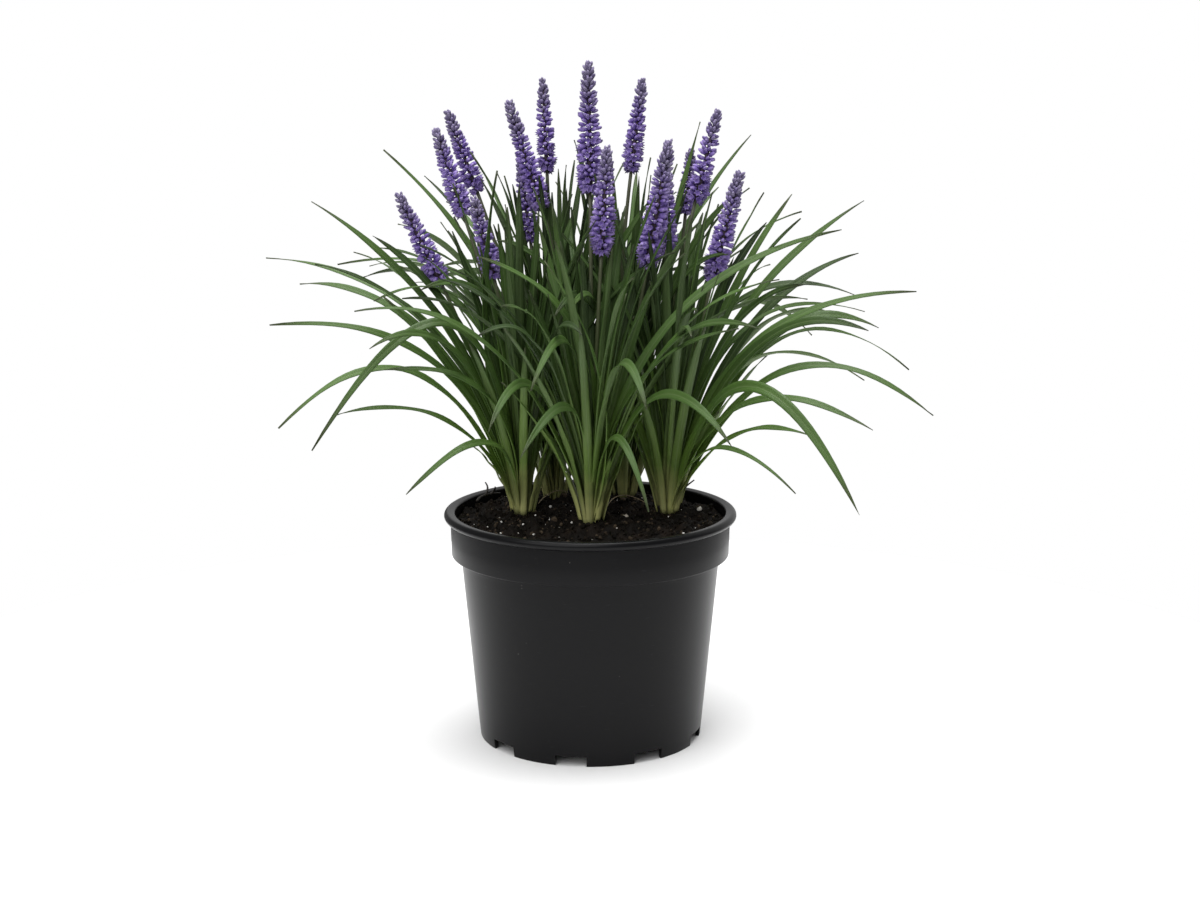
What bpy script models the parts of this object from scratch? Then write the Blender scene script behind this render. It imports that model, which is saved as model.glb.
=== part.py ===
# A liriope in its black nursery pot: five tufts of strap leaves and fifteen violet flower spikes in soil.
# Metres, +Z up. The origin is on the floor, under the middle of the pot. The front of the plant faces -Y.
import math
import random

import bmesh
import bpy
from mathutils import Matrix, Vector
from mathutils.bvhtree import BVHTree

MM = 0.001
UP = Vector((0, 0, 1))
GAP = 0.3 * MM

# Pot
POT_HEIGHT = 166 * MM
LIP_RADIUS = 105 * MM
LIP_DEPTH = 6.0 * MM
LIP_ROUND = 2.0 * MM
MOUTH_RADIUS = 97.2 * MM
BAND_RADIUS = 99.9 * MM
BAND_BOTTOM = 135 * MM
WALL_TOP_RADIUS = 93 * MM
FOOT_RADIUS = 80.6 * MM
FOOT_RING = 2.6 * MM
WALL = 1.8 * MM
PLATE_BOTTOM = 9.0 * MM
PLATE_TOP = PLATE_BOTTOM + WALL
POT_SIDES = 38
NOTCHES = 9
NOTCH_WIDTH = 22 * MM
NOTCH_HEIGHT = 7.5 * MM
NOTCH_TURN = math.radians(-9.5)
DRAIN_RADIUS = 68 * MM
DRAIN_WIDTH = 12 * MM
DRAIN_DEPTH = 6 * MM

# Soil
SOIL_EDGE = 160 * MM
SOIL_MOUND = 6 * MM
SOIL_LUMP = 0.9 * MM
SOIL_LUMP_PITCH = 62 * MM
SOIL_SIDES = 26
SOIL_RINGS = 4
SOIL_CLEARANCE = 0.5 * MM

# Crowns, where the leaves of one tuft meet
CROWN_RADIUS = 8.8 * MM
CROWN_SUNK = 18 * MM
CROWN_NECK = 1.5 * MM
CROWN_RISE = 24 * MM
CROWN_TIP_RADIUS = 4.4 * MM
CROWN_SIDES = 10
TUFTS = {
    "front": Vector((1, -28, 0)) * MM,
    "left": Vector((-49, 2, 0)) * MM,
    "right": Vector((56, 4, 0)) * MM,
    "back_left": Vector((-26, 62, 0)) * MM,
    "back_right": Vector((25, 66, 0)) * MM,
}

# Leaves. Shares are of the full width, of the way along a leaf, or of a whole turn.
LEAVES_PER_TUFT = 33
LEAF_WIDTH = 6.8 * MM
LEAF_KEEL = 1.0 * MM
LEAF_FOLD = 0.18
LEAF_SPARE = 0.45 * MM
ROOT_SPREAD = 6.2 * MM
ROOT_LEAN = math.radians(50)
ROOT_WIDTH = 0.5
BUNDLE_SHARE = 0.16
TURN_STEP = math.radians(2.5)
TURN_TRIES = 41

# Filling leaves: the same two shares, added for each next leaf, spread their turns and leans evenly.
EVEN_TURN = 0.56984
EVEN_LEAN = 0.754878
TUFT_TURN = 0.13
LEAN_DRAW = 0.04
OUTWARD_PULL = 0.4
NEAR_REACH = 40 * MM
FAR_REACH = 205 * MM
DEEP_REACH = 172 * MM
UPRIGHT_TIP = 222 * MM
UPRIGHT_BACK_TIP = 258 * MM
ARCHED_TIP = 118 * MM
BACK_FROM = 30 * MM
FILLING_WIDTHS = (0.6, 0.9, 1.0, 1.05, 1.1)
FILLING_ROLLS = (20, 60)

# Flower stalks and heads
STALK_RADIUS = 1.45 * MM
STALK_SIDES = 5
STALK_STEPS = 5
HEAD_SIDES = 10
HEAD_ROWS = 16
HEAD_RADIUS = 8.8 * MM
HEAD_CORE = 0.45
HEAD_FOOT = 0.62
HEAD_TAPER = 0.62
FLORET_DROOP = 0.25

# The leaves that shape the outline, in millimetres: tuft, middle or crest, tip, share of full width, roll
# in degrees that turns the upper face towards the front.
LEAVES = [
    ("left", (-106, -5, 305), (-192, -15, 387), 1.00, 35),
    ("left", (-136, 20, 313), (-236, 50, 342), 0.80, 40),
    ("left", (-131, -30, 291), (-217, -55, 306), 0.85, 45),
    ("left", (-151, -75, 278), (-204, -110, 245), 0.85, 40),
    ("left", (-103, -55, 308), (-184, -100, 228), 0.95, 50),
    ("left", (-129, -65, 251), (-171, -85, 249), 0.75, 35),
    ("left", (-76, -60, 226), (-123, -90, 196), 0.80, 40),
    ("back_left", (-81, 65, 337), (-151, 70, 419), 0.90, 35),
    ("back_left", (-110, 60, 335), (-187, 70, 335), 0.60, 35),
    ("left", (-92, 10, 312), (-138, 20, 340), 0.90, 40),
    ("left", (-119, -10, 295), (-144, -15, 321), 0.90, 40),
    ("left", (-79, 5, 326), (-105, 10, 371), 0.90, 30),
    ("left", (-95, -55, 273), (-138, -75, 278), 0.80, 40),
    ("left", (-73, 0, 356), (-64, 5, 407), 0.95, 40),
    ("back_left", (-50, 55, 354), (-62, 50, 401), 0.90, 30),
    ("back_left", (-55, 60, 350), (-92, 60, 419), 1.00, 30),
    ("front", (-42, -60, 338), (-73, -75, 354), 1.10, 55),
    ("front", (-18, -85, 255), (-45, -135, 229), 1.00, 50),
    ("front", (-20, -85, 300), (-37, -140, 275), 0.95, 55),
    ("front", (-48, -85, 270), (-65, -130, 246), 1.00, 50),
    ("front", (7, -60, 269), (-30, -70, 351), 1.15, 50),
    ("front", (19, -75, 232), (39, -115, 190), 0.75, 50),
    ("right", (35, -10, 290), (11, -15, 336), 0.90, 30),
    ("back_left", (-33, 55, 288), (-50, 50, 439), 1.00, 30),
    ("back_left", (-22, 55, 310), (-23, 50, 406), 1.00, 30),
    ("back_right", (7, 50, 311), (-7, 40, 398), 0.95, 35),
    ("front", (-14, -15, 290), (-26, -10, 383), 1.00, 35),
    ("back_right", (18, 60, 310), (16, 60, 408), 0.95, 30),
    ("back_right", (36, 60, 310), (44, 60, 401), 1.00, 30),
    ("back_right", (53, 70, 331), (79, 75, 439), 0.95, 30),
    ("right", (131, 10, 335), (194, 20, 385), 0.95, 35),
    ("front", (76, -30, 325), (173, -25, 368), 0.90, 45),
    ("back_right", (80, 65, 364), (135, 65, 428), 0.90, 30),
    ("right", (107, 15, 329), (146, 25, 389), 0.90, 35),
    ("right", (133, -15, 301), (225, -30, 326), 0.90, 40),
    ("right", (150, 20, 311), (200, 30, 304), 0.50, 35),
    ("right", (173, 30, 292), (233, 40, 261), 0.50, 35),
    ("right", (137, -15, 280), (192, -25, 260), 0.85, -35),
    ("right", (163, -30, 275), (236, -50, 243), 0.90, 40),
    ("right", (126, -60, 257), (189, -90, 240), 0.85, 35),
    ("right", (111, -75, 267), (176, -130, 191), 1.15, 55),
    ("right", (125, -75, 239), (149, -100, 237), 0.75, 35),
    ("right", (98, -75, 224), (136, -110, 201), 0.50, 35),
    ("front", (55, -95, 265), (91, -150, 240), 1.05, 50),
    ("front", (54, -80, 292), (91, -110, 310), 1.00, 40),
    ("back_right", (73, 50, 318), (118, 50, 352), 0.85, 30),
    ("back_left", (-45, 125, 292), (-62, 170, 258), 0.95, -40),
    ("back_right", (52, 125, 275), (78, 170, 226), 0.95, -40),
]

# Flower heads in millimetres: tuft, foot of the head, tip of the head, share of full girth.
HEADS = [
    ("left", (-105, 0, 329), (-133, -4, 390), 1.00),
    ("left", (-90, 22, 376), (-109, 25, 434), 0.95),
    ("back_left", (-82, 46, 391), (-102, 48, 446), 0.90),
    ("left", (-68, 3, 333), (-81, 0, 387), 0.95),
    ("back_left", (-35, 40, 378), (-58, 42, 453), 1.00),
    ("back_left", (-44, 62, 354), (-51, 66, 412), 0.90),
    ("back_left", (-32, 76, 404), (-35, 81, 469), 0.85),
    ("front", (0, 6, 392), (-1, 8, 480), 1.10),
    ("front", (8, -26, 353), (12, -27, 423), 1.05),
    ("back_right", (30, 76, 404), (38, 81, 469), 0.90),
    ("front", (40, -15, 343), (54, -20, 427), 1.10),
    ("right", (55, 30, 348), (55, 32, 406), 0.90),
    ("right", (75, 26, 385), (90, 28, 447), 0.95),
    ("back_right", (70, 72, 373), (74, 76, 418), 0.85),
    ("right", (86, 0, 331), (104, -4, 405), 1.05),
]


def clear_scene():
    for item in list(bpy.data.objects):
        bpy.data.objects.remove(item, do_unlink=True)


def plain_material(name, colour, roughness):
    material = bpy.data.materials.new(name)
    material.use_nodes = True
    shader = material.node_tree.nodes["Principled BSDF"]
    shader.inputs["Base Color"].default_value = (*colour, 1.0)
    shader.inputs["Roughness"].default_value = roughness
    shader.inputs["Metallic"].default_value = 0.0
    return material


def add_object(name, bm, material=None):
    mesh = bpy.data.meshes.new(name)
    bm.to_mesh(mesh)
    bm.free()
    if material:
        mesh.materials.append(material)
    item = bpy.data.objects.new(name, mesh)
    bpy.context.scene.collection.objects.link(item)
    return item


def bmesh_from(points, faces):
    bm = bmesh.new()
    corners = [bm.verts.new(point) for point in points]
    for face in faces:
        bm.faces.new([corners[index] for index in face])
    return bm


def apply_boolean(target, others, operation, solver):
    """Joins or cuts target with a collection of the other objects, then removes those objects."""
    tools = bpy.data.collections.new("tools")
    bpy.context.scene.collection.children.link(tools)
    for item in others:
        bpy.context.scene.collection.objects.unlink(item)
        tools.objects.link(item)
    boolean = target.modifiers.new("boolean", "BOOLEAN")
    boolean.operation = operation
    boolean.solver = solver
    boolean.operand_type = "COLLECTION"
    boolean.collection = tools
    bpy.context.view_layer.update()
    depsgraph = bpy.context.evaluated_depsgraph_get()
    result = bpy.data.meshes.new_from_object(target.evaluated_get(depsgraph))
    target.modifiers.clear()
    target.data = result
    for item in others:
        bpy.data.objects.remove(item, do_unlink=True)
    bpy.data.collections.remove(tools)


def keep_main_body(item):
    """Drops loose scraps and the skins of sealed hollows, so that one closed body is left."""
    bm = bmesh.new()
    bm.from_mesh(item.data)
    bmesh.ops.triangulate(bm, faces=bm.faces)
    unseen = set(bm.faces)
    bodies = []
    while unseen:
        front = [unseen.pop()]
        body = []
        while front:
            face = front.pop()
            body.append(face)
            for edge in face.edges:
                for other in edge.link_faces:
                    if other in unseen:
                        unseen.discard(other)
                        front.append(other)
        bodies.append(body)
    bodies.sort(key=len)
    scraps = [face for body in bodies[:-1] for face in body]
    bmesh.ops.delete(bm, geom=scraps, context="FACES")
    bm.to_mesh(item.data)
    bm.free()


def shade(item, angle=40):
    item.data.shade_smooth()
    item.data.set_sharp_from_angle(angle=math.radians(angle))


# Pot: a turned shell, with notches cut through its foot ring and slots through its raised plate.
def pot_profile():
    """Radius and height, from the middle of the plate's underside, round the lip, to its upper side."""
    inner_foot = FOOT_RADIUS - FOOT_RING
    lip_bottom = POT_HEIGHT - LIP_DEPTH
    return [
        (0.0, PLATE_BOTTOM),
        (inner_foot, PLATE_BOTTOM),
        (inner_foot, 0.0),
        (FOOT_RADIUS, 0.0),
        (WALL_TOP_RADIUS, BAND_BOTTOM - 1.5 * MM),
        (BAND_RADIUS, BAND_BOTTOM),
        (BAND_RADIUS + 0.4 * MM, lip_bottom - 0.8 * MM),
        (LIP_RADIUS, lip_bottom + 1.0 * MM),
        (LIP_RADIUS, POT_HEIGHT - LIP_ROUND),
        (LIP_RADIUS - LIP_ROUND, POT_HEIGHT),
        (MOUTH_RADIUS, POT_HEIGHT - 0.8 * MM),
        (MOUTH_RADIUS, BAND_BOTTOM + WALL),
        (WALL_TOP_RADIUS - WALL, BAND_BOTTOM),
        (FOOT_RADIUS - WALL, PLATE_TOP),
        (0.0, PLATE_TOP),
    ]


def foot_cutter(angle, radius, width, depth, low, high):
    """A box on the pot's front side at that radius, turned about the pot's axis."""
    bm = bmesh.new()
    bmesh.ops.create_cube(bm, size=1.0)
    bmesh.ops.scale(bm, vec=(width, depth, high - low), verts=bm.verts)
    bmesh.ops.translate(bm, vec=(0, -radius, (low + high) / 2), verts=bm.verts)
    bmesh.ops.rotate(bm, matrix=Matrix.Rotation(angle, 3, "Z"), verts=bm.verts)
    return add_object("cutter", bm)


def make_pot(material):
    bm = bmesh.new()
    corners = [bm.verts.new((radius, 0, height)) for radius, height in pot_profile()]
    edges = [bm.edges.new(pair) for pair in zip(corners, corners[1:])]
    bmesh.ops.spin(bm, geom=corners + edges, axis=UP, angle=math.tau, steps=POT_SIDES, use_merge=True)
    bmesh.ops.remove_doubles(bm, verts=bm.verts, dist=0.01 * MM)
    bmesh.ops.recalc_face_normals(bm, faces=bm.faces)
    pot = add_object("nursery_pot", bm, material)
    cutters = []
    for index in range(NOTCHES):
        angle = NOTCH_TURN + math.tau * index / NOTCHES
        notch = (FOOT_RADIUS, NOTCH_WIDTH, 4 * FOOT_RING, -5 * MM, NOTCH_HEIGHT)
        slot = (DRAIN_RADIUS, DRAIN_WIDTH, DRAIN_DEPTH, PLATE_BOTTOM - MM, PLATE_TOP + MM)
        cutters.append(foot_cutter(angle, *notch))
        cutters.append(foot_cutter(angle, *slot))
    apply_boolean(pot, cutters, "DIFFERENCE", "EXACT")
    keep_main_body(pot)
    shade(pot)
    return pot


# Soil: it fills the pot, with a low lumpy mound on top and a plain hole for each crown.
def soil_height(x, y):
    share = min(1.0, math.hypot(x, y) / MOUTH_RADIUS)
    across = math.tau * x / SOIL_LUMP_PITCH
    along = math.tau * y / SOIL_LUMP_PITCH
    lumps = math.sin(across + 2.0) * math.cos(1.1 * along) + 0.6 * math.sin(2.1 * across - 1.6 * along)
    return SOIL_EDGE + SOIL_MOUND * (1 - share**3) + SOIL_LUMP * lumps


def soil_rings():
    """Radius and height of each ring, from near the middle of the top, out to its edge and down the wall.
    The rings of the top have no height of their own: they follow the mound."""
    outside = MOUTH_RADIUS - SOIL_CLEARANCE
    wall_top = WALL_TOP_RADIUS - WALL - SOIL_CLEARANCE
    wall_foot = FOOT_RADIUS - WALL - SOIL_CLEARANCE
    rings = []
    for step in range(1, SOIL_RINGS + 1):
        rings.append((outside * (step / SOIL_RINGS) ** 0.8, None))
    rings.append((outside, BAND_BOTTOM + WALL + 2 * GAP))
    rings.append((wall_top, BAND_BOTTOM + 2 * GAP))
    rings.append((wall_foot, PLATE_TOP + GAP))
    return rings


def make_soil(material):
    bm = bmesh.new()
    crest = bm.verts.new((0, 0, soil_height(0, 0)))
    loops = []
    for radius, height in soil_rings():
        loop = []
        for side in range(SOIL_SIDES):
            angle = math.tau * side / SOIL_SIDES
            x = radius * math.cos(angle)
            y = radius * math.sin(angle)
            loop.append(bm.verts.new((x, y, soil_height(x, y) if height is None else height)))
        loops.append(loop)
    for side in range(SOIL_SIDES):
        after = (side + 1) % SOIL_SIDES
        bm.faces.new((crest, loops[0][side], loops[0][after]))
        for upper, lower in zip(loops, loops[1:]):
            bm.faces.new((upper[side], lower[side], lower[after], upper[after]))
    bm.faces.new(list(reversed(loops[-1])))
    soil = add_object("potting_soil", bm, material)
    holes = [crown_hole(place) for place in TUFTS.values()]
    apply_boolean(soil, holes, "DIFFERENCE", "EXACT")
    keep_main_body(soil)
    shade(soil, 60)
    return soil


def crown_hole(place):
    top = soil_height(place.x, place.y)
    depth = CROWN_SUNK + 2 * GAP + 10 * MM
    radius = CROWN_RADIUS + 2 * GAP
    bm = bmesh.new()
    bmesh.ops.create_cone(
        bm, cap_ends=True, segments=CROWN_SIDES, radius1=radius, radius2=radius, depth=depth
    )
    middle = top - CROWN_SUNK - 2 * GAP + depth / 2
    bmesh.ops.translate(bm, vec=(place.x, place.y, middle), verts=bm.verts)
    return add_object("hole", bm)


# Crowns: a sunk round foot that closes above the soil, inside the leaves that grow from it.
def make_crown(name, place, material):
    ground = soil_height(place.x, place.y)
    levels = [
        (CROWN_RADIUS, -CROWN_SUNK),
        (CROWN_RADIUS, CROWN_NECK),
        (CROWN_TIP_RADIUS, CROWN_RISE),
    ]
    bm = bmesh.new()
    loops = []
    for radius, height in levels:
        loop = []
        for side in range(CROWN_SIDES):
            angle = math.tau * side / CROWN_SIDES
            spot = Vector((radius * math.cos(angle), radius * math.sin(angle), ground + height))
            loop.append(bm.verts.new(place + spot))
        loops.append(loop)
    for lower, upper in zip(loops, loops[1:]):
        for side in range(CROWN_SIDES):
            after = (side + 1) % CROWN_SIDES
            bm.faces.new((lower[side], lower[after], upper[after], upper[side]))
    bm.faces.new(list(reversed(loops[0])))
    bm.faces.new(loops[-1])
    return add_object(name, bm, material)


# Leaves: each one follows a plain arc from its root, past a knee that it never reaches, to its tip.
class Leaf:
    def __init__(self, tuft, root, knee, tip, width, roll):
        self.tuft = tuft
        self.root = root
        self.knee = knee
        self.tip = tip
        self.width = width
        self.roll = roll

    def turned(self, angle):
        turn = Matrix.Rotation(angle, 3, "Z")
        knee = self.root + turn @ (self.knee - self.root)
        tip = self.root + turn @ (self.tip - self.root)
        return Leaf(self.tuft, self.root, knee, tip, self.width, self.roll)

    def spot(self, share):
        rest = 1 - share
        return self.root * rest**2 + self.knee * (2 * rest * share) + self.tip * share**2

    def heading(self, share):
        return ((self.knee - self.root) * (1 - share) + (self.tip - self.knee) * share).normalized()

    def steps(self):
        bend = self.heading(0).angle(self.heading(1))
        return 3 + min(3, round(math.degrees(bend) / 30))


def crown_root(tuft, towards):
    """A leaf's root inside the crown: the more it leans, the nearer the crown's side."""
    place = TUFTS[tuft]
    base = place + UP * (soil_height(place.x, place.y) + CROWN_NECK)
    way = towards - base
    lean = min(1.0, way.angle(UP) / ROOT_LEAN)
    return base + Vector((way.x, way.y, 0)).normalized() * ROOT_SPREAD * lean**0.8


def knee_through(root, middle, tip):
    """The arc's knee, for an arc that passes through its middle point at its share of the way."""
    first = (middle - root).length
    share = first / (first + (tip - middle).length)
    rest = 1 - share
    return (middle - root * rest**2 - tip * share**2) / (2 * rest * share)


def shaping_leaves():
    leaves = []
    for tuft, middle, tip, width, roll in LEAVES:
        middle = Vector(middle) * MM
        tip = Vector(tip) * MM
        root = crown_root(tuft, middle)
        leaves.append(Leaf(tuft, root, knee_through(root, middle, tip), tip, width, roll))
    return leaves


def filling_leaf(tuft, index):
    """A leaf placed by rule: evenly round its tuft, from upright ones (lean 0) to arched ones (lean 1)."""
    number = 1000 * list(TUFTS).index(tuft) + index
    draw = random.Random(number)
    place = TUFTS[tuft]
    ground = place + UP * soil_height(place.x, place.y)
    angle = math.tau * (index * EVEN_TURN + TUFT_TURN * number)
    lean = (index * EVEN_LEAN + draw.uniform(-LEAN_DRAW, LEAN_DRAW)) % 1.0

    outward = Vector((place.x, place.y, 0)).normalized()
    across = Vector((math.cos(angle), math.sin(angle), 0)) + OUTWARD_PULL * outward
    reach = (NEAR_REACH + (FAR_REACH - NEAR_REACH) * lean**0.9) * (0.6 + 0.35 * across.length)
    across.normalize()
    upright = UPRIGHT_TIP if place.y < BACK_FROM else UPRIGHT_BACK_TIP
    height = upright + (ARCHED_TIP - upright) * lean**1.5 + draw.uniform(-18, 14) * MM

    tip = ground + across * reach + UP * height
    limit = math.hypot(tip.x / FAR_REACH, tip.y / DEEP_REACH)
    if limit > 1:
        tip = Vector((tip.x / limit, tip.y / limit, tip.z))
        reach = reach / limit
    knee = ground + across * reach * (0.2 + 0.18 * lean) + UP * upright * (0.62 + 0.18 * lean)
    width = draw.choice(FILLING_WIDTHS)
    roll = draw.uniform(*FILLING_ROLLS) * (1 if across.y < 0.2 else -1)
    return Leaf(tuft, crown_root(tuft, knee), knee, tip, width, roll)


def blade_half_width(leaf, share):
    """Half the blade's width: narrow where it leaves the crown, then even, then tapered to the tip."""
    opening = min(1.0, ROOT_WIDTH + 2 * share)
    return leaf.width * LEAF_WIDTH / 2 * opening * (1 - share**3) ** 0.8


def leaf_skin(leaf, spare=0.0, start=0.0):
    """Points and triangles of a blade with a three-cornered section: two edges and a keel below."""
    steps = leaf.steps()
    flat = Vector((leaf.tip.x - leaf.root.x, leaf.tip.y - leaf.root.y, 0))
    across = UP.cross(flat.normalized())
    facing = -1 if flat.x > 0 else 1
    points = []
    for step in range(steps):
        share = start + (1 - start) * step / steps
        along = leaf.heading(share)
        side = (across - along * across.dot(along)).normalized()
        upper = along.cross(side)
        roll = math.radians(leaf.roll) * facing * (1.3 - 0.5 * share)
        edge = side * math.cos(roll) - upper * math.sin(roll)
        face = upper * math.cos(roll) + side * math.sin(roll)
        half = blade_half_width(leaf, share)
        centre = leaf.spot(share)
        rise = face * (LEAF_FOLD * half + spare)
        points.append(centre + edge * (half + spare) + rise)
        points.append(centre - face * (LEAF_KEEL * (1 - 0.4 * share) + spare))
        points.append(centre - edge * (half + spare) + rise)
    points.append(leaf.tip)
    faces = [(0, 1, 2)]
    for step in range(steps - 1):
        left, keel, right = 3 * step, 3 * step + 1, 3 * step + 2
        faces += [(left, left + 3, keel + 3), (left, keel + 3, keel)]
        faces += [(keel, keel + 3, right + 3), (keel, right + 3, right)]
        faces += [(right, right + 3, left), (right + 3, left + 3, left)]
    left, keel, right = 3 * steps - 3, 3 * steps - 2, 3 * steps - 1
    tip = 3 * steps
    faces += [(left, tip, keel), (keel, tip, right), (right, tip, left)]
    return points, faces


# Clearance: what stands in another piece's way, so that crossing leaves can be turned aside.
class Obstacles:
    def __init__(self):
        self.entries = []

    def add(self, owner, points, faces, free=None):
        low = [min(point[axis] for point in points) for axis in range(3)]
        high = [max(point[axis] for point in points) for axis in range(3)]
        tree = BVHTree.FromPolygons(points, faces)
        free_tree = BVHTree.FromPolygons(*free) if free else None
        self.entries.append((owner, tree, free_tree, low, high))

    def add_object(self, owner, item):
        points = [item.matrix_world @ corner.co for corner in item.data.vertices]
        faces = [list(face.vertices) for face in item.data.polygons]
        self.add(owner, points, faces)

    def crossings(self, owner, points, faces, free):
        """How many pieces of other nodes, and how many free blades of its own tuft, a blade crosses."""
        low = [min(point[axis] for point in points) for axis in range(3)]
        high = [max(point[axis] for point in points) for axis in range(3)]
        tree = BVHTree.FromPolygons(points, faces)
        free_tree = BVHTree.FromPolygons(*free)
        others = 0
        own = 0
        for name, other_tree, other_free, other_low, other_high in self.entries:
            if any(low[i] > other_high[i] or high[i] < other_low[i] for i in range(3)):
                continue
            if name != owner:
                others += bool(tree.overlap(other_tree))
            elif other_free:
                own += bool(free_tree.overlap(other_free))
            if others:
                break
        return others, own


def place_leaf(leaf, obstacles):
    """Turns the leaf about its root, a little to either side, until it is clear of every other blade.
    Where no such place is near, it takes the one that crosses the fewest blades of its own tuft."""
    best = None
    fewest = math.inf
    for attempt in range(TURN_TRIES):
        side = 1 if attempt % 2 else -1
        trial = leaf.turned(side * TURN_STEP * ((attempt + 1) // 2))
        if abs(trial.tip.y) > DEEP_REACH:
            continue
        points, faces = leaf_skin(trial, LEAF_SPARE)
        free = leaf_skin(trial, start=BUNDLE_SHARE)
        others, own = obstacles.crossings(leaf.tuft, points, faces, free)
        if not others and own < fewest:
            best = trial
            fewest = own
        if fewest == 0:
            break
    if best:
        obstacles.add(leaf.tuft, *leaf_skin(best), leaf_skin(best, start=BUNDLE_SHARE))
    return best


def all_leaves(obstacles):
    """Leaves by tuft: the ones that shape the outline first, then the filling ones in turn."""
    placed = {tuft: [] for tuft in TUFTS}
    waiting = shaping_leaves()
    for index in range(LEAVES_PER_TUFT):
        for tuft in TUFTS:
            waiting.append(filling_leaf(tuft, index))
    for leaf in waiting:
        if len(placed[leaf.tuft]) < LEAVES_PER_TUFT:
            clear = place_leaf(leaf, obstacles)
            if clear:
                placed[leaf.tuft].append(clear)
    return placed


# Flower stalks: round stems that rise from the crown and end square under their head.
def stalk_skin(tuft, foot, axis, spare=0.0):
    place = TUFTS[tuft]
    root = crown_root(tuft, foot)
    root = place + (root - place) * 0.5 + UP * root.z * 0.5
    end = foot - axis * GAP
    knee = end - axis * (end - root).length * 0.5
    stalk = Leaf(tuft, root, knee, end, 1.0, 0.0)
    points = []
    for step in range(STALK_STEPS + 1):
        share = step / STALK_STEPS
        along = stalk.heading(share)
        side = along.cross(Vector((0, 1, 0))).normalized()
        other = along.cross(side)
        radius = STALK_RADIUS * (1 - 0.2 * share) + spare
        for corner in range(STALK_SIDES):
            angle = math.tau * corner / STALK_SIDES
            spot = side * math.cos(angle) + other * math.sin(angle)
            points.append(stalk.spot(share) + spot * radius)
    faces = [tuple(reversed(range(STALK_SIDES)))]
    for step in range(STALK_STEPS):
        for corner in range(STALK_SIDES):
            a = step * STALK_SIDES + corner
            b = step * STALK_SIDES + (corner + 1) % STALK_SIDES
            faces.append((a, b, b + STALK_SIDES, a + STALK_SIDES))
    faces.append(tuple(STALK_STEPS * STALK_SIDES + corner for corner in range(STALK_SIDES)))
    return points, faces


# Flower heads: florets stand out of a slim axis in staggered whorls, wide below and small above.
def head_radius(share):
    """Outer radius as a share of the full girth, from the foot of the head (0) to its tip (1)."""
    opening = min(1.0, HEAD_FOOT + 3 * share)
    return opening * (1 - HEAD_TAPER * share**1.3)


def head_skin(foot, tip, girth):
    axis = (tip - foot).normalized()
    side = axis.cross(Vector((0, 1, 0))).normalized()
    other = axis.cross(side)
    length = (tip - foot).length
    points = []
    for row in range(HEAD_ROWS):
        share = row / HEAD_ROWS
        full = HEAD_RADIUS * girth * head_radius(share)
        for corner in range(HEAD_SIDES):
            angle = math.tau * corner / HEAD_SIDES
            floret = row > 0 and (row + corner) % 2 == 0
            radius = full if floret else full * HEAD_CORE
            if row == 0:
                radius = STALK_RADIUS
            droop = FLORET_DROOP * length / HEAD_ROWS if floret and row > 1 else 0.0
            spot = side * math.cos(angle) + other * math.sin(angle)
            points.append(foot + axis * (length * share - droop) + spot * radius)
    points.append(tip)
    faces = [tuple(reversed(range(HEAD_SIDES)))]
    for row in range(HEAD_ROWS - 1):
        for corner in range(HEAD_SIDES):
            a = row * HEAD_SIDES + corner
            b = row * HEAD_SIDES + (corner + 1) % HEAD_SIDES
            if (row + corner) % 2:
                faces += [(a, b, b + HEAD_SIDES), (a, b + HEAD_SIDES, a + HEAD_SIDES)]
            else:
                faces += [(a, b, a + HEAD_SIDES), (b, b + HEAD_SIDES, a + HEAD_SIDES)]
    last = (HEAD_ROWS - 1) * HEAD_SIDES
    for corner in range(HEAD_SIDES):
        faces.append((last + corner, last + (corner + 1) % HEAD_SIDES, len(points) - 1))
    return points, faces


def build():
    clear_scene()
    plastic = plain_material("black_plastic", (0.012, 0.012, 0.013), 0.42)
    earth = plain_material("potting_soil", (0.020, 0.014, 0.010), 0.95)
    green = plain_material("leaf_green", (0.045, 0.115, 0.030), 0.50)
    violet = plain_material("flower_violet", (0.150, 0.080, 0.400), 0.60)

    obstacles = Obstacles()
    obstacles.add_object("pot", make_pot(plastic))
    obstacles.add_object("soil", make_soil(earth))

    stalks = {tuft: [] for tuft in TUFTS}
    for number, (tuft, foot, tip, girth) in enumerate(HEADS, start=1):
        foot = Vector(foot) * MM
        tip = Vector(tip) * MM
        points, faces = head_skin(foot, tip, girth)
        add_object(f"flower_head_{number:02d}", bmesh_from(points, faces), violet)
        obstacles.add(f"head {number}", points, faces)
        points, faces = stalk_skin(tuft, foot, (tip - foot).normalized())
        obstacles.add(tuft, points, faces)
        stalks[tuft].append(add_object("stalk", bmesh_from(points, faces)))

    leaves = all_leaves(obstacles)
    for tuft, place in TUFTS.items():
        crown = make_crown(f"leaf_tuft_{tuft}", place, green)
        blades = [add_object("blade", bmesh_from(*leaf_skin(leaf))) for leaf in leaves[tuft]]
        apply_boolean(crown, blades + stalks[tuft], "UNION", "MANIFOLD")
        keep_main_body(crown)
        shade(crown, 50)


build()
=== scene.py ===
# %% [markdown]
# # A liriope in its nursery pot
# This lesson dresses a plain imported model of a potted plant, which gives the frame and the main sizes. Each
# step says what a piece is on the real plant, how it could be made in Blender, and why this way was chosen.
# The work goes from the ground up: studio, pot, soil, leaves, stalks and flower spikes.

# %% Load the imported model
import math
import random

import bmesh
import bpy
from mathutils import Matrix, Vector, kdtree, noise


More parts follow.
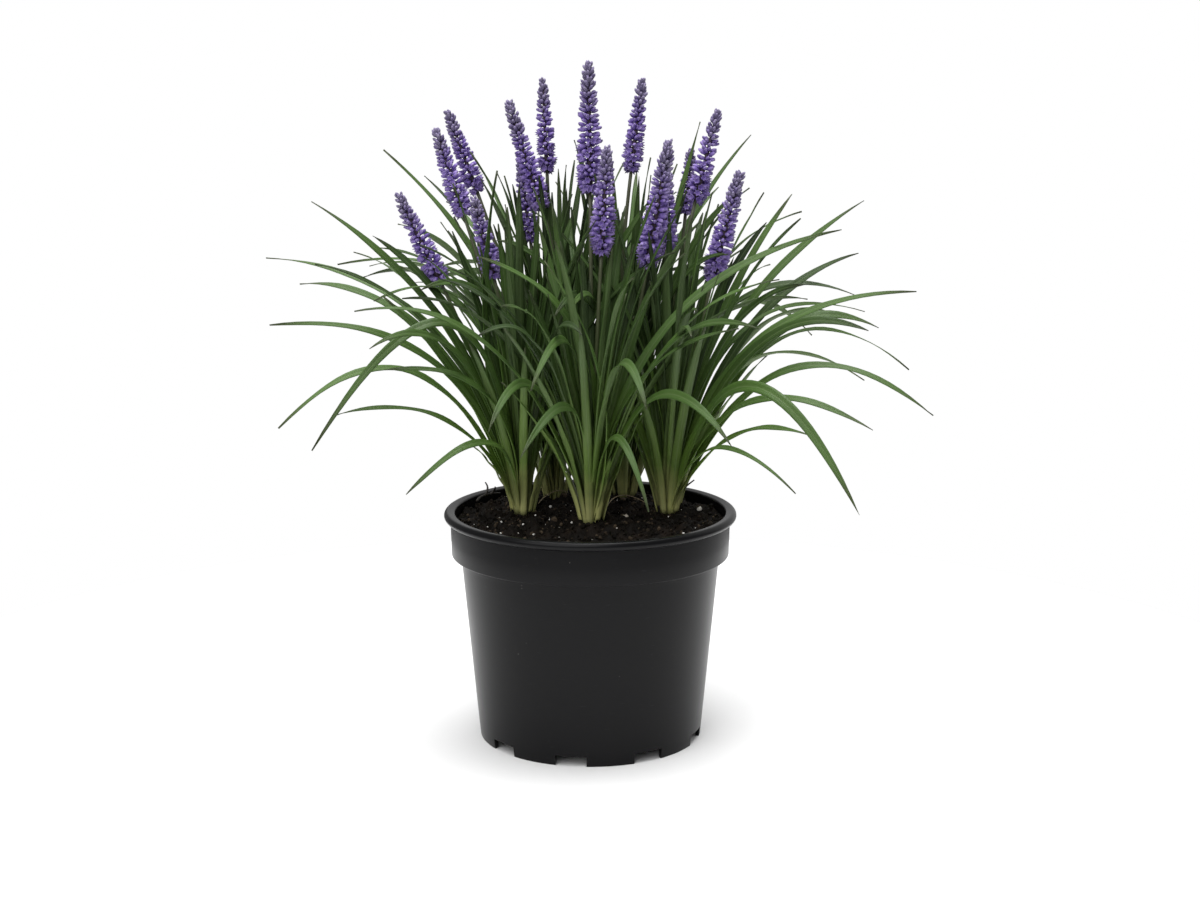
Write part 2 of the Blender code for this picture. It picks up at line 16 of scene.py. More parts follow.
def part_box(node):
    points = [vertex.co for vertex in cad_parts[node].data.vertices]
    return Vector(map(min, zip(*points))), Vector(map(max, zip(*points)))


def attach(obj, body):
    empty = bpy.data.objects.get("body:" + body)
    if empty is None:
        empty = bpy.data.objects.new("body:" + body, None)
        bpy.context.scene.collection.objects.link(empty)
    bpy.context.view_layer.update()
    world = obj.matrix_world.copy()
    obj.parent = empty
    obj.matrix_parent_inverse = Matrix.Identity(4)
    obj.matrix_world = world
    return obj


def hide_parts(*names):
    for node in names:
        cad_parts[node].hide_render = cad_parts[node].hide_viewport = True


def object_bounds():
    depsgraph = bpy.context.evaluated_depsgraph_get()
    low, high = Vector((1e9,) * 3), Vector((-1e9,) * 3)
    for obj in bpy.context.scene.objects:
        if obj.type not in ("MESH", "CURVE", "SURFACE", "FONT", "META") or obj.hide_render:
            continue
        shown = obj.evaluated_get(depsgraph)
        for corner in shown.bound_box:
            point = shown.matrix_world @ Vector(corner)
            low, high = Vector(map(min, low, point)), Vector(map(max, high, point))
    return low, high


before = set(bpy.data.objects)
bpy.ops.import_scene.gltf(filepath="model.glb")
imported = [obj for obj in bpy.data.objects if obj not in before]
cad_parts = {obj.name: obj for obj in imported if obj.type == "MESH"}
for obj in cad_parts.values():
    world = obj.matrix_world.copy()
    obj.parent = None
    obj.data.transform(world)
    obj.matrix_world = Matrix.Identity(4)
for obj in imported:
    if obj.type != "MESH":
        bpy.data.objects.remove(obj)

MM = 0.001
UP = Vector((0, 0, 1))
BODY = "root"
cad_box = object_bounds()
rounded_box = [[round(value, 3) for value in corner] for corner in cad_box]
print("nodes", len(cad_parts), "box", rounded_box)

# %% [markdown]
# ## Camera
# The camera looks slightly down on the plant, as in the photograph, from about the height of the highest
# flowers. It stands well back with a long lens, which keeps the pot's sides almost straight.

# %% Camera
CAMERA_PLACE = (0.007, -1.35, 0.4725)
CAMERA_PITCH = 0.1928
LENS = 57.66
SENSOR = 36.0

camera = bpy.data.objects.new("camera", bpy.data.cameras.new("camera"))
bpy.context.scene.collection.objects.link(camera)
camera.location = CAMERA_PLACE
camera.rotation_euler = (math.pi / 2 - CAMERA_PITCH, 0, 0)
camera.data.lens = LENS
camera.data.sensor_width = SENSOR
bpy.context.scene.camera = camera
print("camera", CAMERA_PLACE, "lens", LENS)

# %% [markdown]
# ## Shader sums
# A pattern in a material is a sum over the surface, such as "one minus the mask, times the noise". In the
# node editor each sign is a Math node. Here a small class wraps a socket, so that an ordinary Python sum
# adds those nodes by itself, and the formula stays readable.

# %% A socket that can be added and multiplied
def connect(tree, value, socket):
    """Links a wrapped socket, or sets a plain number or colour."""
    if isinstance(value, Sum):
        tree.links.new(value.socket, socket)
    elif isinstance(value, tuple) and len(value) == 3 and socket.type == "RGBA":
        socket.default_value = (*value, 1.0)
    else:
        socket.default_value = value


class Sum:
    """A shader value that takes part in plain sums. Each sum adds the Math node that works it out."""

    def __init__(self, tree, socket):
        self.tree = tree
        self.socket = socket

    def math(self, operation, first, second=0.0):
        node = self.tree.nodes.new("ShaderNodeMath")
        node.operation = operation
        connect(self.tree, first, node.inputs[0])
        connect(self.tree, second, node.inputs[1])
        return Sum(self.tree, node.outputs[0])

    def __add__(self, other):
        return self.math("ADD", self, other)

    def __sub__(self, other):
        return self.math("SUBTRACT", self, other)

    def __rsub__(self, other):
        return self.math("SUBTRACT", other, self)

    def __mul__(self, other):
        return self.math("MULTIPLY", self, other)

    def wave(self):
        return self.math("SINE", self)

    def size(self):
        return self.math("ABSOLUTE", self)

    __radd__ = __add__
    __rmul__ = __mul__


# %% A material and the one method that adds its nodes
class Finish:
    """A material: constants sit on the shader's own sockets, and patterns are painted on the others."""

    def __init__(self, name, **constants):
        self.material = bpy.data.materials.new(name)
        self.material.use_nodes = True
        self.tree = self.material.node_tree
        self.shader = self.tree.nodes["Principled BSDF"]
        for socket, value in constants.items():
            connect(self.tree, value, self.shader.inputs[socket.replace("_", " ")])

    def node(self, kind, settings=None, sockets=None, output=0):
        """Adds a node: its settings first, then the values or links of its sockets."""
        node = self.tree.nodes.new("ShaderNode" + kind)
        for name, value in (settings or {}).items():
            if name == "stops":
                set_stops(node.color_ramp, value)
            else:
                setattr(node, name, value)
        for name, value in (sockets or {}).items():
            connect(self.tree, value, node.inputs[name])
        return Sum(self.tree, node.outputs[output])

    def place(self):
        return self.node("TexCoord", output="Object")

    def named(self, name):
        """A value that the mesh carries, by its attribute's name."""
        return self.node("Attribute", {"attribute_name": name}, output="Fac")

    def stretched(self, scale):
        return self.node("Mapping", {}, {"Vector": self.place(), "Scale": scale})

    def noise(self, scale, detail=3.0, vector=None, rough=0.5):
        where = vector or self.place()
        sockets = {"Vector": where, "Scale": scale, "Detail": detail, "Roughness": rough}
        return self.node("TexNoise", {}, sockets)

    def step(self, value, low, high):
        """A soft step: 0 below low, 1 above high."""
        sockets = {"Value": value, "From Min": low, "From Max": high}
        return self.node("MapRange", {"interpolation_type": "SMOOTHSTEP"}, sockets)

    def ramp(self, value, stops):
        return self.node("ValToRGB", {"stops": stops}, {"Fac": value})

    def mix(self, share, first, second, blend="MIX"):
        settings = {"data_type": "RGBA", "blend_type": blend}
        return self.node("Mix", settings, {0: share, 6: first, 7: second}, output=2)

    def paint(self, socket, value):
        connect(self.tree, value, self.shader.inputs[socket])

    def relief(self, height, depth, strength=1.0):
        """Bumps the surface by a height from 0 to 1, as deep as depth in metres."""
        sockets = {"Height": height, "Distance": depth, "Strength": strength}
        self.paint("Normal", self.node("Bump", {}, sockets))


def set_stops(ramp, stops):
    while len(ramp.elements) < len(stops):
        ramp.elements.new(0.5)
    for element, (position, colour) in zip(ramp.elements, stops):
        element.position = position
        element.color = (*colour, 1.0)


# %% [markdown]
# ## Studio
# The photograph is a cut-out on white, with a faint soft shadow under the pot. A round white table top and
# three very broad suns give that: a sun with a large angle is a soft light that falls the same everywhere. The
# top is small, so the pot's wall mirrors it, while the band above mirrors the dimmer room past its edge. The
# world is that room. It is white to the camera alone, so the table's edge doesn't show.

# %% Floor, suns and sky
FLOOR_RADIUS = 0.60
SKY_LIGHT = 0.26
SUNS = {
    "key": {"strength": 3.4, "spread": 44, "turn": (-3, 0, -20)},
    "fill": {"strength": 1.8, "spread": 60, "turn": (50, 0, -24)},
    "rim": {"strength": 0.7, "spread": 90, "turn": (-58, 0, -30)},
}


def make_floor():
    finish = Finish("studio_floor", Roughness=0.9)
    finish.paint("Base Color", finish.mix(finish.noise(0.7), (0.86, 0.86, 0.86), (0.88, 0.88, 0.88)))
    bm = bmesh.new()
    bmesh.ops.create_circle(bm, cap_ends=True, segments=64, radius=FLOOR_RADIUS)
    mesh = bpy.data.meshes.new("floor")
    bm.to_mesh(mesh)
    bm.free()
    mesh.materials.append(finish.material)
    floor = bpy.data.objects.new("floor", mesh)
    bpy.context.scene.collection.objects.link(floor)


def make_suns():
    for name, sun in SUNS.items():
        light = bpy.data.objects.new(name, bpy.data.lights.new(name, "SUN"))
        bpy.context.scene.collection.objects.link(light)
        light.data.energy = sun["strength"]
        light.data.angle = math.radians(sun["spread"])
        light.rotation_euler = [math.radians(angle) for angle in sun["turn"]]


def make_sky():
    """White to the eye, and dimmer as a light."""
    world = bpy.data.worlds.new("sky")
    bpy.context.scene.world = world
    world.use_nodes = True
    tree = world.node_tree
    seen = tree.nodes.new("ShaderNodeLightPath")
    strength = tree.nodes.new("ShaderNodeMapRange")
    strength.inputs["To Min"].default_value = SKY_LIGHT
    strength.inputs["To Max"].default_value = 1.0
    tree.links.new(seen.outputs["Is Camera Ray"], strength.inputs["Value"])
    sky = tree.nodes["Background"]
    sky.inputs["Color"].default_value = (1, 1, 1, 1)
    tree.links.new(strength.outputs["Result"], sky.inputs["Strength"])


make_floor()
make_suns()
make_sky()
bpy.context.scene.view_settings.view_transform = "Standard"
print("studio: floor,", len(SUNS), "suns and a white sky")

# %% [markdown]
# ## Building helpers
# A plant is a few shapes repeated many times: blade, tube, bud, crumb. Each shape is modelled once with
# bmesh operators, as a template in plain units. A copy of its mesh is then moulded: every point goes through
# a function that says where it lies on this leaf or stalk. Copies are gathered into one mesh a piece.

# %% Templates, moulding and gathering
def finish_mesh(bm, name):
    mesh = bpy.data.meshes.new(name)
    bm.to_mesh(mesh)
    bm.free()
    return mesh


def mould(template, place, **values):
    """A copy of a template with each point moved to place(point), and its named values set."""
    copy = template.copy()
    for corner in copy.vertices:
        corner.co = place(corner.co)
    for name, value in values.items():
        layer = copy.attributes.get(name) or copy.attributes.new(name, "FLOAT", "POINT")
        layer.data.foreach_set("value", [value] * len(copy.vertices))
    return copy


def gather(parts):
    """One bmesh from many small meshes, which are then removed."""
    bm = bmesh.new()
    for part in parts:
        bm.from_mesh(part)
        bpy.data.meshes.remove(part)
    return bm


def add_piece(name, bm, finishes, node=None, smooth=True):
    """Makes the gathered mesh a piece of the plant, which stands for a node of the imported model."""
    mesh = finish_mesh(bm, name)
    for face in mesh.polygons:
        face.use_smooth = smooth
    for finish in finishes:
        mesh.materials.append(finish.material)
    piece = bpy.data.objects.new(name, mesh)
    bpy.context.scene.collection.objects.link(piece)
    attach(piece, BODY)
    if node:
        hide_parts(node)
    print(name, len(mesh.polygons), "faces")
    return piece


# %% Template shapes
def blade_template(across=4, along=30):
    """A strip, x from -1 to 1 across the blade and y from 0 to 1 along it, with its place as its UV."""
    bm = bmesh.new()
    bmesh.ops.create_grid(bm, x_segments=across, y_segments=along, size=1)
    from_zero_to_one = Matrix.Translation((0, 0.5, 0)) @ Matrix.Scale(0.5, 4, (0, 1, 0))
    bmesh.ops.transform(bm, matrix=from_zero_to_one, verts=bm.verts)
    layer = bm.loops.layers.uv.new("blade")
    for face in bm.faces:
        for loop in face.loops:
            loop[layer].uv = ((loop.vert.co.x + 1) / 2, loop.vert.co.y)
    return finish_mesh(bm, "blade_template")


def tube_template(sides=9, along=16):
    """A capped tube, of radius 1 round the z axis and from 0 to 1 along it."""
    bm = bmesh.new()
    bmesh.ops.create_circle(bm, segments=sides, radius=1)
    rim = list(bm.edges)
    bmesh.ops.contextual_create(bm, geom=rim)
    for _ in range(along):
        grown = bmesh.ops.extrude_edge_only(bm, edges=rim)["geom"]
        rim = [item for item in grown if isinstance(item, bmesh.types.BMEdge)]
        corners = [item for item in grown if isinstance(item, bmesh.types.BMVert)]
        bmesh.ops.translate(bm, vec=(0, 0, 1 / along), verts=corners)
    bmesh.ops.contextual_create(bm, geom=rim)
    bmesh.ops.recalc_face_normals(bm, faces=bm.faces)
    return finish_mesh(bm, "tube_template")


def turned_template(name, outline, steps):
    """A closed turned shape from (radius, height) points that start and end on the z axis."""
    bm = bmesh.new()
    corners = [bm.verts.new((radius, 0, height)) for radius, height in outline]
    edges = [bm.edges.new(pair) for pair in zip(corners, corners[1:])]
    bmesh.ops.spin(bm, geom=corners + edges, axis=UP, angle=math.tau, steps=steps, use_merge=True)
    bmesh.ops.remove_doubles(bm, verts=bm.verts, dist=1e-6)
    bmesh.ops.recalc_face_normals(bm, faces=bm.faces)
    return finish_mesh(bm, name)


def lump_template(name, subdivisions, seed, roughness=0.35):
    """An uneven lump of radius about 1: a ball whose points are pushed in and out by noise."""
    bm = bmesh.new()
    bmesh.ops.create_icosphere(bm, subdivisions=subdivisions, radius=1)
    for corner in bm.verts:
        corner.co *= 1 + roughness * noise.noise(corner.co * 1.3 + UP * seed * 7)
    return finish_mesh(bm, name)


blade = blade_template()
tube = tube_template()
fine_tube = tube_template(5, 8)
print("blade", len(blade.polygons), "faces, tube", len(tube.polygons), "faces")

# %% [markdown]
# ## Pot finish
# The pot is thin black plastic from a mould: near black, satin, with a slight unevenness in its gloss, a few
# pale specks of dust and short scuffs. Roughness does most of the work on such a dark surface, because what
# is seen of it is mainly reflection.

# %% Black plastic
def black_plastic():
    finish = Finish("moulded_black_plastic", Specular_IOR_Level=0.15)
    cloud = finish.noise(22, 4)
    grain = finish.noise(1900, 2)
    scuff = finish.step(finish.noise(9, 6, finish.stretched((14, 14, 120))), 0.66, 0.74)
    dust = finish.step(finish.noise(420, 1), 0.80, 0.86) * finish.step(cloud, 0.40, 0.62)
    base = finish.mix(cloud, (0.0030, 0.0030, 0.0035), (0.0048, 0.0047, 0.0053))
    worn = finish.mix(scuff * 0.25, base, (0.035, 0.035, 0.037))
    finish.paint("Base Color", finish.mix(dust * 0.5, worn, (0.22, 0.21, 0.19)))
    finish.paint("Roughness", 0.25 + cloud * 0.10 + scuff * 0.12 + dust * 0.3)
    finish.relief(grain * 0.7 + cloud * 0.3, 0.00006, 0.5)
    return finish


plastic = black_plastic()
print(plastic.material.name)

# %% [markdown]
# ## Pot
# A nursery pot is a turned form: one outline spun round its axis. The outline here runs from the middle of
# the raised bottom plate, down the foot ring, up the wall, round the rolled lip and back down inside. The
# lip is a half round, so its points come from an arc. The nine foot notches and the drain slots are then
# cut by a Boolean, because they break the turned form. Spinning and cutting is how the real mould is made.

# %% Pot sizes
POT_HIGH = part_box("nursery_pot")[1]
POT_HEIGHT = POT_HIGH.z
LIP_RADIUS = POT_HIGH.x
LIP_DEPTH = 6.4 * MM
LIP_BEAD = 3.1 * MM
MOUTH_RADIUS = 97.2 * MM
BAND_RADIUS = 99.9 * MM
BAND_BOTTOM = 135 * MM
WALL_TOP_RADIUS = 93 * MM
FOOT_RADIUS = 80.6 * MM
FOOT_RING = 2.6 * MM
WALL = 1.8 * MM
PLATE_BOTTOM = 9 * MM
PLATE_TOP = PLATE_BOTTOM + WALL
POT_STEPS = 200
NOTCHES = 9
NOTCH_WIDTH = 22 * MM
NOTCH_HEIGHT = 7.5 * MM
NOTCH_TURN = math.radians(-9.5)
INNER_FOOT_ROUND = 0.4 * MM
OUTER_FOOT_ROUND = 0.5 * MM
STEP_ROUND = 1.2 * MM
STEP_DROP = 2.2 * MM
BAND_ROUND = 0.9 * MM
MOUTH_ROUND = 1.4 * MM
WALL_SHARES = (0.04, 0.25, 0.5, 0.75, 0.96)
DRAIN_RADIUS = 68 * MM
DRAIN_WIDTH = 12 * MM
DRAIN_DEPTH = 6 * MM
SHARP_EDGE = math.radians(35)


def arc(middle, radius, first, last, points):
    """Points on an arc of the outline, between two angles in degrees from the outward direction."""
    spots = []
    for step in range(points + 1):
        angle = math.radians(first + (last - first) * step / points)
        spots.append((middle[0] + radius * math.cos(angle), middle[1] + radius * math.sin(angle)))
    return spots


def pot_outline():
    bead = (LIP_RADIUS - LIP_BEAD, POT_HEIGHT - LIP_BEAD)
    inner_foot = FOOT_RADIUS - FOOT_RING
    outline = [(0.0, PLATE_BOTTOM), (inner_foot, PLATE_BOTTOM)]
    outline += arc((inner_foot + INNER_FOOT_ROUND, INNER_FOOT_ROUND), INNER_FOOT_ROUND, 180, 270, 2)
    outline += arc((FOOT_RADIUS - OUTER_FOOT_ROUND, OUTER_FOOT_ROUND), OUTER_FOOT_ROUND, -90, 0, 3)
    rise = BAND_BOTTOM - STEP_DROP
    for share in WALL_SHARES:
        outline.append((FOOT_RADIUS + (WALL_TOP_RADIUS - FOOT_RADIUS) * share, rise * share))
    outline += arc((WALL_TOP_RADIUS + STEP_ROUND, rise), STEP_ROUND, 180, 100, 3)
    outline += arc((BAND_RADIUS - BAND_ROUND, BAND_BOTTOM + 0.2 * MM), BAND_ROUND, -95, 0, 4)
    outline.append((BAND_RADIUS + 0.25 * MM, BAND_BOTTOM + 12 * MM))
    outline.append((BAND_RADIUS + 0.5 * MM, POT_HEIGHT - LIP_DEPTH - 0.6 * MM))
    outline += arc(bead, LIP_BEAD, -62, 105, 12)
    outline += arc((MOUTH_RADIUS + MOUTH_ROUND, POT_HEIGHT - 2.0 * MM), MOUTH_ROUND, 95, 180, 4)
    outline += [(MOUTH_RADIUS, BAND_BOTTOM + WALL), (WALL_TOP_RADIUS - WALL, BAND_BOTTOM)]
    outline += [(FOOT_RADIUS - WALL, PLATE_TOP), (0.0, PLATE_TOP)]
    return outline


# %% Spin the pot and cut its foot
def foot_cutter(bm, angle, radius, width, depth, low, high):
    """A box on the pot's front side at that radius, turned about the pot's axis."""
    corners = bmesh.ops.create_cube(bm, size=1)["verts"]
    bmesh.ops.scale(bm, vec=(width, depth, high - low), verts=corners)
    bmesh.ops.translate(bm, vec=(0, -radius, (low + high) / 2), verts=corners)
    bmesh.ops.rotate(bm, matrix=Matrix.Rotation(angle, 3, "Z"), verts=corners)


def cut_foot(mesh):
    """The pot's mesh with its notches and slots cut, by a Boolean that is applied at once."""
    bm = bmesh.new()
    for index in range(NOTCHES):
        angle = NOTCH_TURN + math.tau * index / NOTCHES
        foot_cutter(bm, angle, FOOT_RADIUS, NOTCH_WIDTH, 4 * FOOT_RING, -5 * MM, NOTCH_HEIGHT)
        foot_cutter(bm, angle, DRAIN_RADIUS, DRAIN_WIDTH, DRAIN_DEPTH, PLATE_BOTTOM - MM, PLATE_TOP + MM)
    body = bpy.data.objects.new("pot_body", mesh)
    cutters = bpy.data.objects.new("pot_cutters", finish_mesh(bm, "pot_cutters"))
    for item in (body, cutters):
        bpy.context.scene.collection.objects.link(item)
    boolean = body.modifiers.new("notches", "BOOLEAN")
    boolean.operation = "DIFFERENCE"
    boolean.object = cutters
    bpy.context.view_layer.update()
    cut = bpy.data.meshes.new_from_object(body.evaluated_get(bpy.context.evaluated_depsgraph_get()))
    for item in (body, cutters):
        bpy.data.objects.remove(item, do_unlink=True)
    return cut


def make_pot():
    turned = turned_template("pot", pot_outline(), POT_STEPS)
    pot = add_piece("pot", gather([cut_foot(turned)]), [plastic], "nursery_pot")
    pot.data.set_sharp_from_angle(angle=SHARP_EDGE)


make_pot()

# %% [markdown]
# ## Soil finish
# Potting mix is peat, fine bark and white perlite. Close by, it is almost black, with warmer brown crumbs and
# no gloss. One finish serves the bed and its crumbs: a value on the mesh says how light each crumb is.

# %% Soil, perlite, straw and twig
def potting_mix():
    finish = Finish("potting_mix", Specular_IOR_Level=0.10)
    grit = finish.noise(420, 5)
    clods = finish.noise(95, 3)
    dark = finish.mix(grit, (0.0004, 0.0003, 0.0002), (0.0085, 0.0062, 0.0042))
    brown = finish.mix(finish.step(clods, 0.45, 0.75), dark, (0.0105, 0.0066, 0.0040))
    light = finish.step(finish.named("tint"), 0.72, 1.0)
    finish.paint("Base Color", finish.mix(light, brown, (0.060, 0.044, 0.029)))
    finish.paint("Roughness", 0.50 + grit * 0.4)
    finish.relief(grit * 0.6 + clods * 0.4, 0.0007, 0.9)
    return finish


def white_grain():
    finish = Finish("perlite", Roughness=0.85)
    pores = finish.noise(2600, 3)
    tint = finish.named("tint")
    clean = finish.mix(pores, (0.50, 0.48, 0.44), (0.82, 0.81, 0.78))
    finish.paint("Base Color", finish.mix(finish.step(tint, 0.5, 1.0) * 0.7, clean, (0.30, 0.24, 0.17)))
    finish.relief(pores, 0.0002, 0.8)
    return finish


def dry_strand(name, pale, dark):
    finish = Finish(name, Roughness=0.6)
    streaks = finish.noise(900, 4, finish.stretched((1, 1, 0.25)))
    finish.paint("Base Color", finish.mix(streaks, pale, dark))
    finish.relief(streaks, 0.0001, 0.6)
    return finish


soil_finish = potting_mix()
perlite = white_grain()
straw = dry_strand("dead_leaf", (0.36, 0.29, 0.18), (0.20, 0.15, 0.09))
bark = dry_strand("twig_bark", (0.030, 0.022, 0.015), (0.010, 0.008, 0.006))
print(soil_finish.material.name, perlite.material.name, straw.material.name, bark.material.name)

# %% [markdown]
# ## Soil bed
# The bed fills the pot almost to its lip. It could be a flat disc with a bump texture, but its edge is seen
# against the lip, so the roughness is real: a radial line is spun into a fine disc, and its points are
# lifted by noise at two sizes, clods and crumbs. The line goes on down the wall to close the solid. The
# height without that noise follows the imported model's formula: a low mound with a few wide lumps.

# %% Spin the bed and rough it up
SOIL_EDGE = 160 * MM
SOIL_MOUND = 6 * MM
SOIL_LUMP = 0.9 * MM
SOIL_LUMP_PITCH = 62 * MM
SOIL_CLEARANCE = 0.5 * MM
SOIL_RINGS = 84
SOIL_STEPS = 300
CLOD_RISE = 6.0 * MM
CLOD_SCALE = 85
CLOD_LEVEL = 0.55
CRUMB_RISE = 1.44 * MM
CRUMB_SCALE = 420


def soil_height(x, y):
    share = min(1.0, math.hypot(x, y) / MOUTH_RADIUS)
    across = math.tau * x / SOIL_LUMP_PITCH
    along = math.tau * y / SOIL_LUMP_PITCH
    lumps = math.sin(across + 2.0) * math.cos(1.1 * along) + 0.6 * math.sin(2.1 * across - 1.6 * along)
    return SOIL_EDGE + SOIL_MOUND * (1 - share**3) + SOIL_LUMP * lumps


def rough_soil_height(x, y):
    place = Vector((x, y, 0))
    clods = noise.turbulence(place * CLOD_SCALE, 3, False) - CLOD_LEVEL
    crumbs = noise.noise(place * CRUMB_SCALE)
    return soil_height(x, y) + CLOD_RISE * clods + CRUMB_RISE * crumbs


def make_soil_bed():
    outside = MOUTH_RADIUS - SOIL_CLEARANCE
    wall_top = WALL_TOP_RADIUS - WALL - SOIL_CLEARANCE
    wall_foot = FOOT_RADIUS - WALL - SOIL_CLEARANCE
    outline = [(outside * step / SOIL_RINGS, SOIL_EDGE) for step in range(SOIL_RINGS + 1)]
    outline += [(outside, BAND_BOTTOM + WALL + MM), (wall_top, BAND_BOTTOM + 0.6 * MM)]
    outline += [(wall_foot, PLATE_TOP + 0.3 * MM), (0.0, PLATE_TOP + 0.3 * MM)]
    bm = gather([turned_template("bed", outline, SOIL_STEPS)])
    for corner in bm.verts:
        if corner.co.z > SOIL_EDGE - 0.1 * MM:
            corner.co.z = rough_soil_height(corner.co.x, corner.co.y)
    add_piece("soil_bed", bm, [soil_finish], "potting_soil")


make_soil_bed()

# %% [markdown]
# ## Crumbs, perlite and litter
# A few thousand crumbs lie on the bed. An operator makes seven uneven lumps, and seeded draws scatter turned
# and squeezed copies of them evenly over the disc. The larger perlite grains stand where the photograph
# shows them, and the rest are scattered too.

# %% Scatter crumbs
CRUMBS = 3200
CRUMB_SIZE = 0.45
CRUMB_EXTRA = 1.5
CHIPS = 260
CHIP_SIZES = (1.0, 2.0)
CHIP_SQUEEZE = (0.3, 1.5)
CHIP_SUNK = 0.35
SMALL_GRAINS = 70
SMALL_GRAIN_SIZES = (0.3, 0.75)
GRAIN_SQUEEZE = (0.8, 1.2)
GRAIN_SUNK = -0.6
WHITE_UP_TO = 0.9
SCATTER_RADIUS = MOUTH_RADIUS - 2.2 * MM
# Place on the bed and size of each grain, in millimetres.
PERLITE_SPOTS = [
    (-63, -23, 0.8), (-62, -49, 0.8), (-47, -36, 0.7), (-39, -54, 0.7), (-39, -17, 0.8), (-29, 8, 1.0),
    (-13, -30, 0.8), (-7, -61, 0.9), (-1, -76, 0.8), (6, -27, 1.0), (15, -76, 0.9), (25, -23, 1.9),
    (47, 2, 1.1), (65, -51, 0.9), (68, -57, 0.7), (79, 5, 1.6), (68, 22, 1.2),
]
lumps = [lump_template(f"lump_{seed}", 1, seed) for seed in range(4)]
round_lumps = [lump_template(f"round_lump_{seed}", 2, seed, 0.5) for seed in range(3)]


def spot_on_soil(draw):
    radius = SCATTER_RADIUS * math.sqrt(draw.random())
    angle = draw.uniform(0, math.tau)
    return radius * math.cos(angle), radius * math.sin(angle)


def lump_at(template, draw, x, y, size, squeeze=(0.6, 1.3), tint=0.0, sunk=0.2):
    """A turned and squeezed copy of a lump that sits a little way into the bed."""
    turn = Matrix.LocRotScale(
        Vector((x, y, rough_soil_height(x, y) + size * (0.5 - sunk))),
        Vector((draw.uniform(-1, 1), draw.uniform(-1, 1), draw.uniform(-1, 1))).to_track_quat("Z", "Y"),
        Vector([size * draw.uniform(*squeeze) for _ in range(3)]),
    )
    return mould(template, lambda point: turn @ point, tint=tint)


def make_crumbs():
    draw = random.Random(11)
    parts = []
    for _ in range(CRUMBS):
        x, y = spot_on_soil(draw)
        size = (CRUMB_SIZE + CRUMB_EXTRA * draw.random() ** 3) * MM
        parts.append(lump_at(draw.choice(lumps), draw, x, y, size, tint=draw.random()))
    for _ in range(CHIPS):
        x, y = spot_on_soil(draw)
        size = draw.uniform(*CHIP_SIZES) * MM
        chip = draw.choice(round_lumps)
        parts.append(lump_at(chip, draw, x, y, size, CHIP_SQUEEZE, draw.random(), CHIP_SUNK))
    add_piece("soil_crumbs", gather(parts), [soil_finish], smooth=False)


def make_perlite():
    draw = random.Random(12)
    parts = []
    for x, y, size in PERLITE_SPOTS:
        grain = draw.choice(round_lumps)
        spot = (x * MM, y * MM, size * MM)
        parts.append(lump_at(grain, draw, *spot, GRAIN_SQUEEZE, size - WHITE_UP_TO, GRAIN_SUNK))
    for _ in range(SMALL_GRAINS):
        x, y = spot_on_soil(draw)
        size = draw.uniform(*SMALL_GRAIN_SIZES) * MM
        parts.append(lump_at(draw.choice(lumps), draw, x, y, size, GRAIN_SQUEEZE, draw.random()))
    add_piece("perlite_grains", gather(parts), [perlite])


make_crumbs()
make_perlite()

# %% [markdown]
# Two dead strands lie in shallow arches across the soil, and forked dark twigs rest at the back by the lip.
# Each is a few tubes, moulded along curves through three points placed after the photograph.

# %% Litter
# First, middle and last point of each curve: place on the bed and rise above it, in millimetres.
STRANDS = [
    ((-38, 14, 0.5), (-28, 40, 4.0), (-17, 54, 1.0)),
    ((10, -14, 0.5), (21, 14, 6.0), (40, 22, 0.5)),
]
TWIGS = [
    ((-84, 38, 1.5), (-79, 48, 4.0), (-68, 60, 2.0)),
    ((-79, 49, 3.5), (-77, 54, 8.0), (-79, 61, 12.5)),
    ((-75, 53, 3.0), (-72, 54, 5.5), (-71, 47, 9.0)),
    ((65, 60, 1.0), (71, 64, 8.0), (78, 66, 13.5)),
    ((71, 64, 7.5), (70, 66, 10.5), (68, 67, 13.0)),
]
STRAND_RADIUS = 0.42 * MM
TWIG_RADIUS = 1.0 * MM


def arch_through(first, middle, last):
    """A curve's point at each share of its way, through its middle point halfway."""
    knee = middle * 2 - (first + last) / 2

    def spot(share):
        rest = 1 - share
        return first * rest**2 + knee * (2 * rest * share) + last * share**2

    return spot


def litter_tube(spots, radius, taper):
    places = [Vector((x * MM, y * MM, soil_height(x * MM, y * MM) + rise * MM)) for x, y, rise in spots]
    spot = arch_through(*places)

    def place(point):
        along = (spot(point.z + 0.01) - spot(point.z - 0.01)).normalized()
        side = along.cross(UP).normalized()
        width = radius * (1 - taper * point.z)
        return spot(point.z) + side * point.x * width + side.cross(along) * point.y * width

    return mould(tube, place)


def make_litter():
    strands = [litter_tube(spots, STRAND_RADIUS, 0.4) for spots in STRANDS]
    add_piece("dead_strands", gather(strands), [straw])
    twigs = [litter_tube(spots, TWIG_RADIUS, 0.5) for spots in TWIGS]
    add_piece("twig", gather(twigs), [bark])


make_litter()

# %% [markdown]
# ## Leaf finish
# A liriope leaf is a leathery strap. Its upper face is deep green and satin, ribbed by fine veins along its
# length; its lower face is paler and duller. At the soil it is a pale sheath, and its tip is dark and thin.
# The strip's UV gives the place across and along, so the pattern follows each leaf however it bends. The mesh
# carries a random tint, the leaf's length, and how deep in its tuft the leaf stands, which darkens its colour
# as painted shade.

# %% Upper face, lower face, sheath and stalk
VEINS = 11
GREEN_FROM = 150 * MM


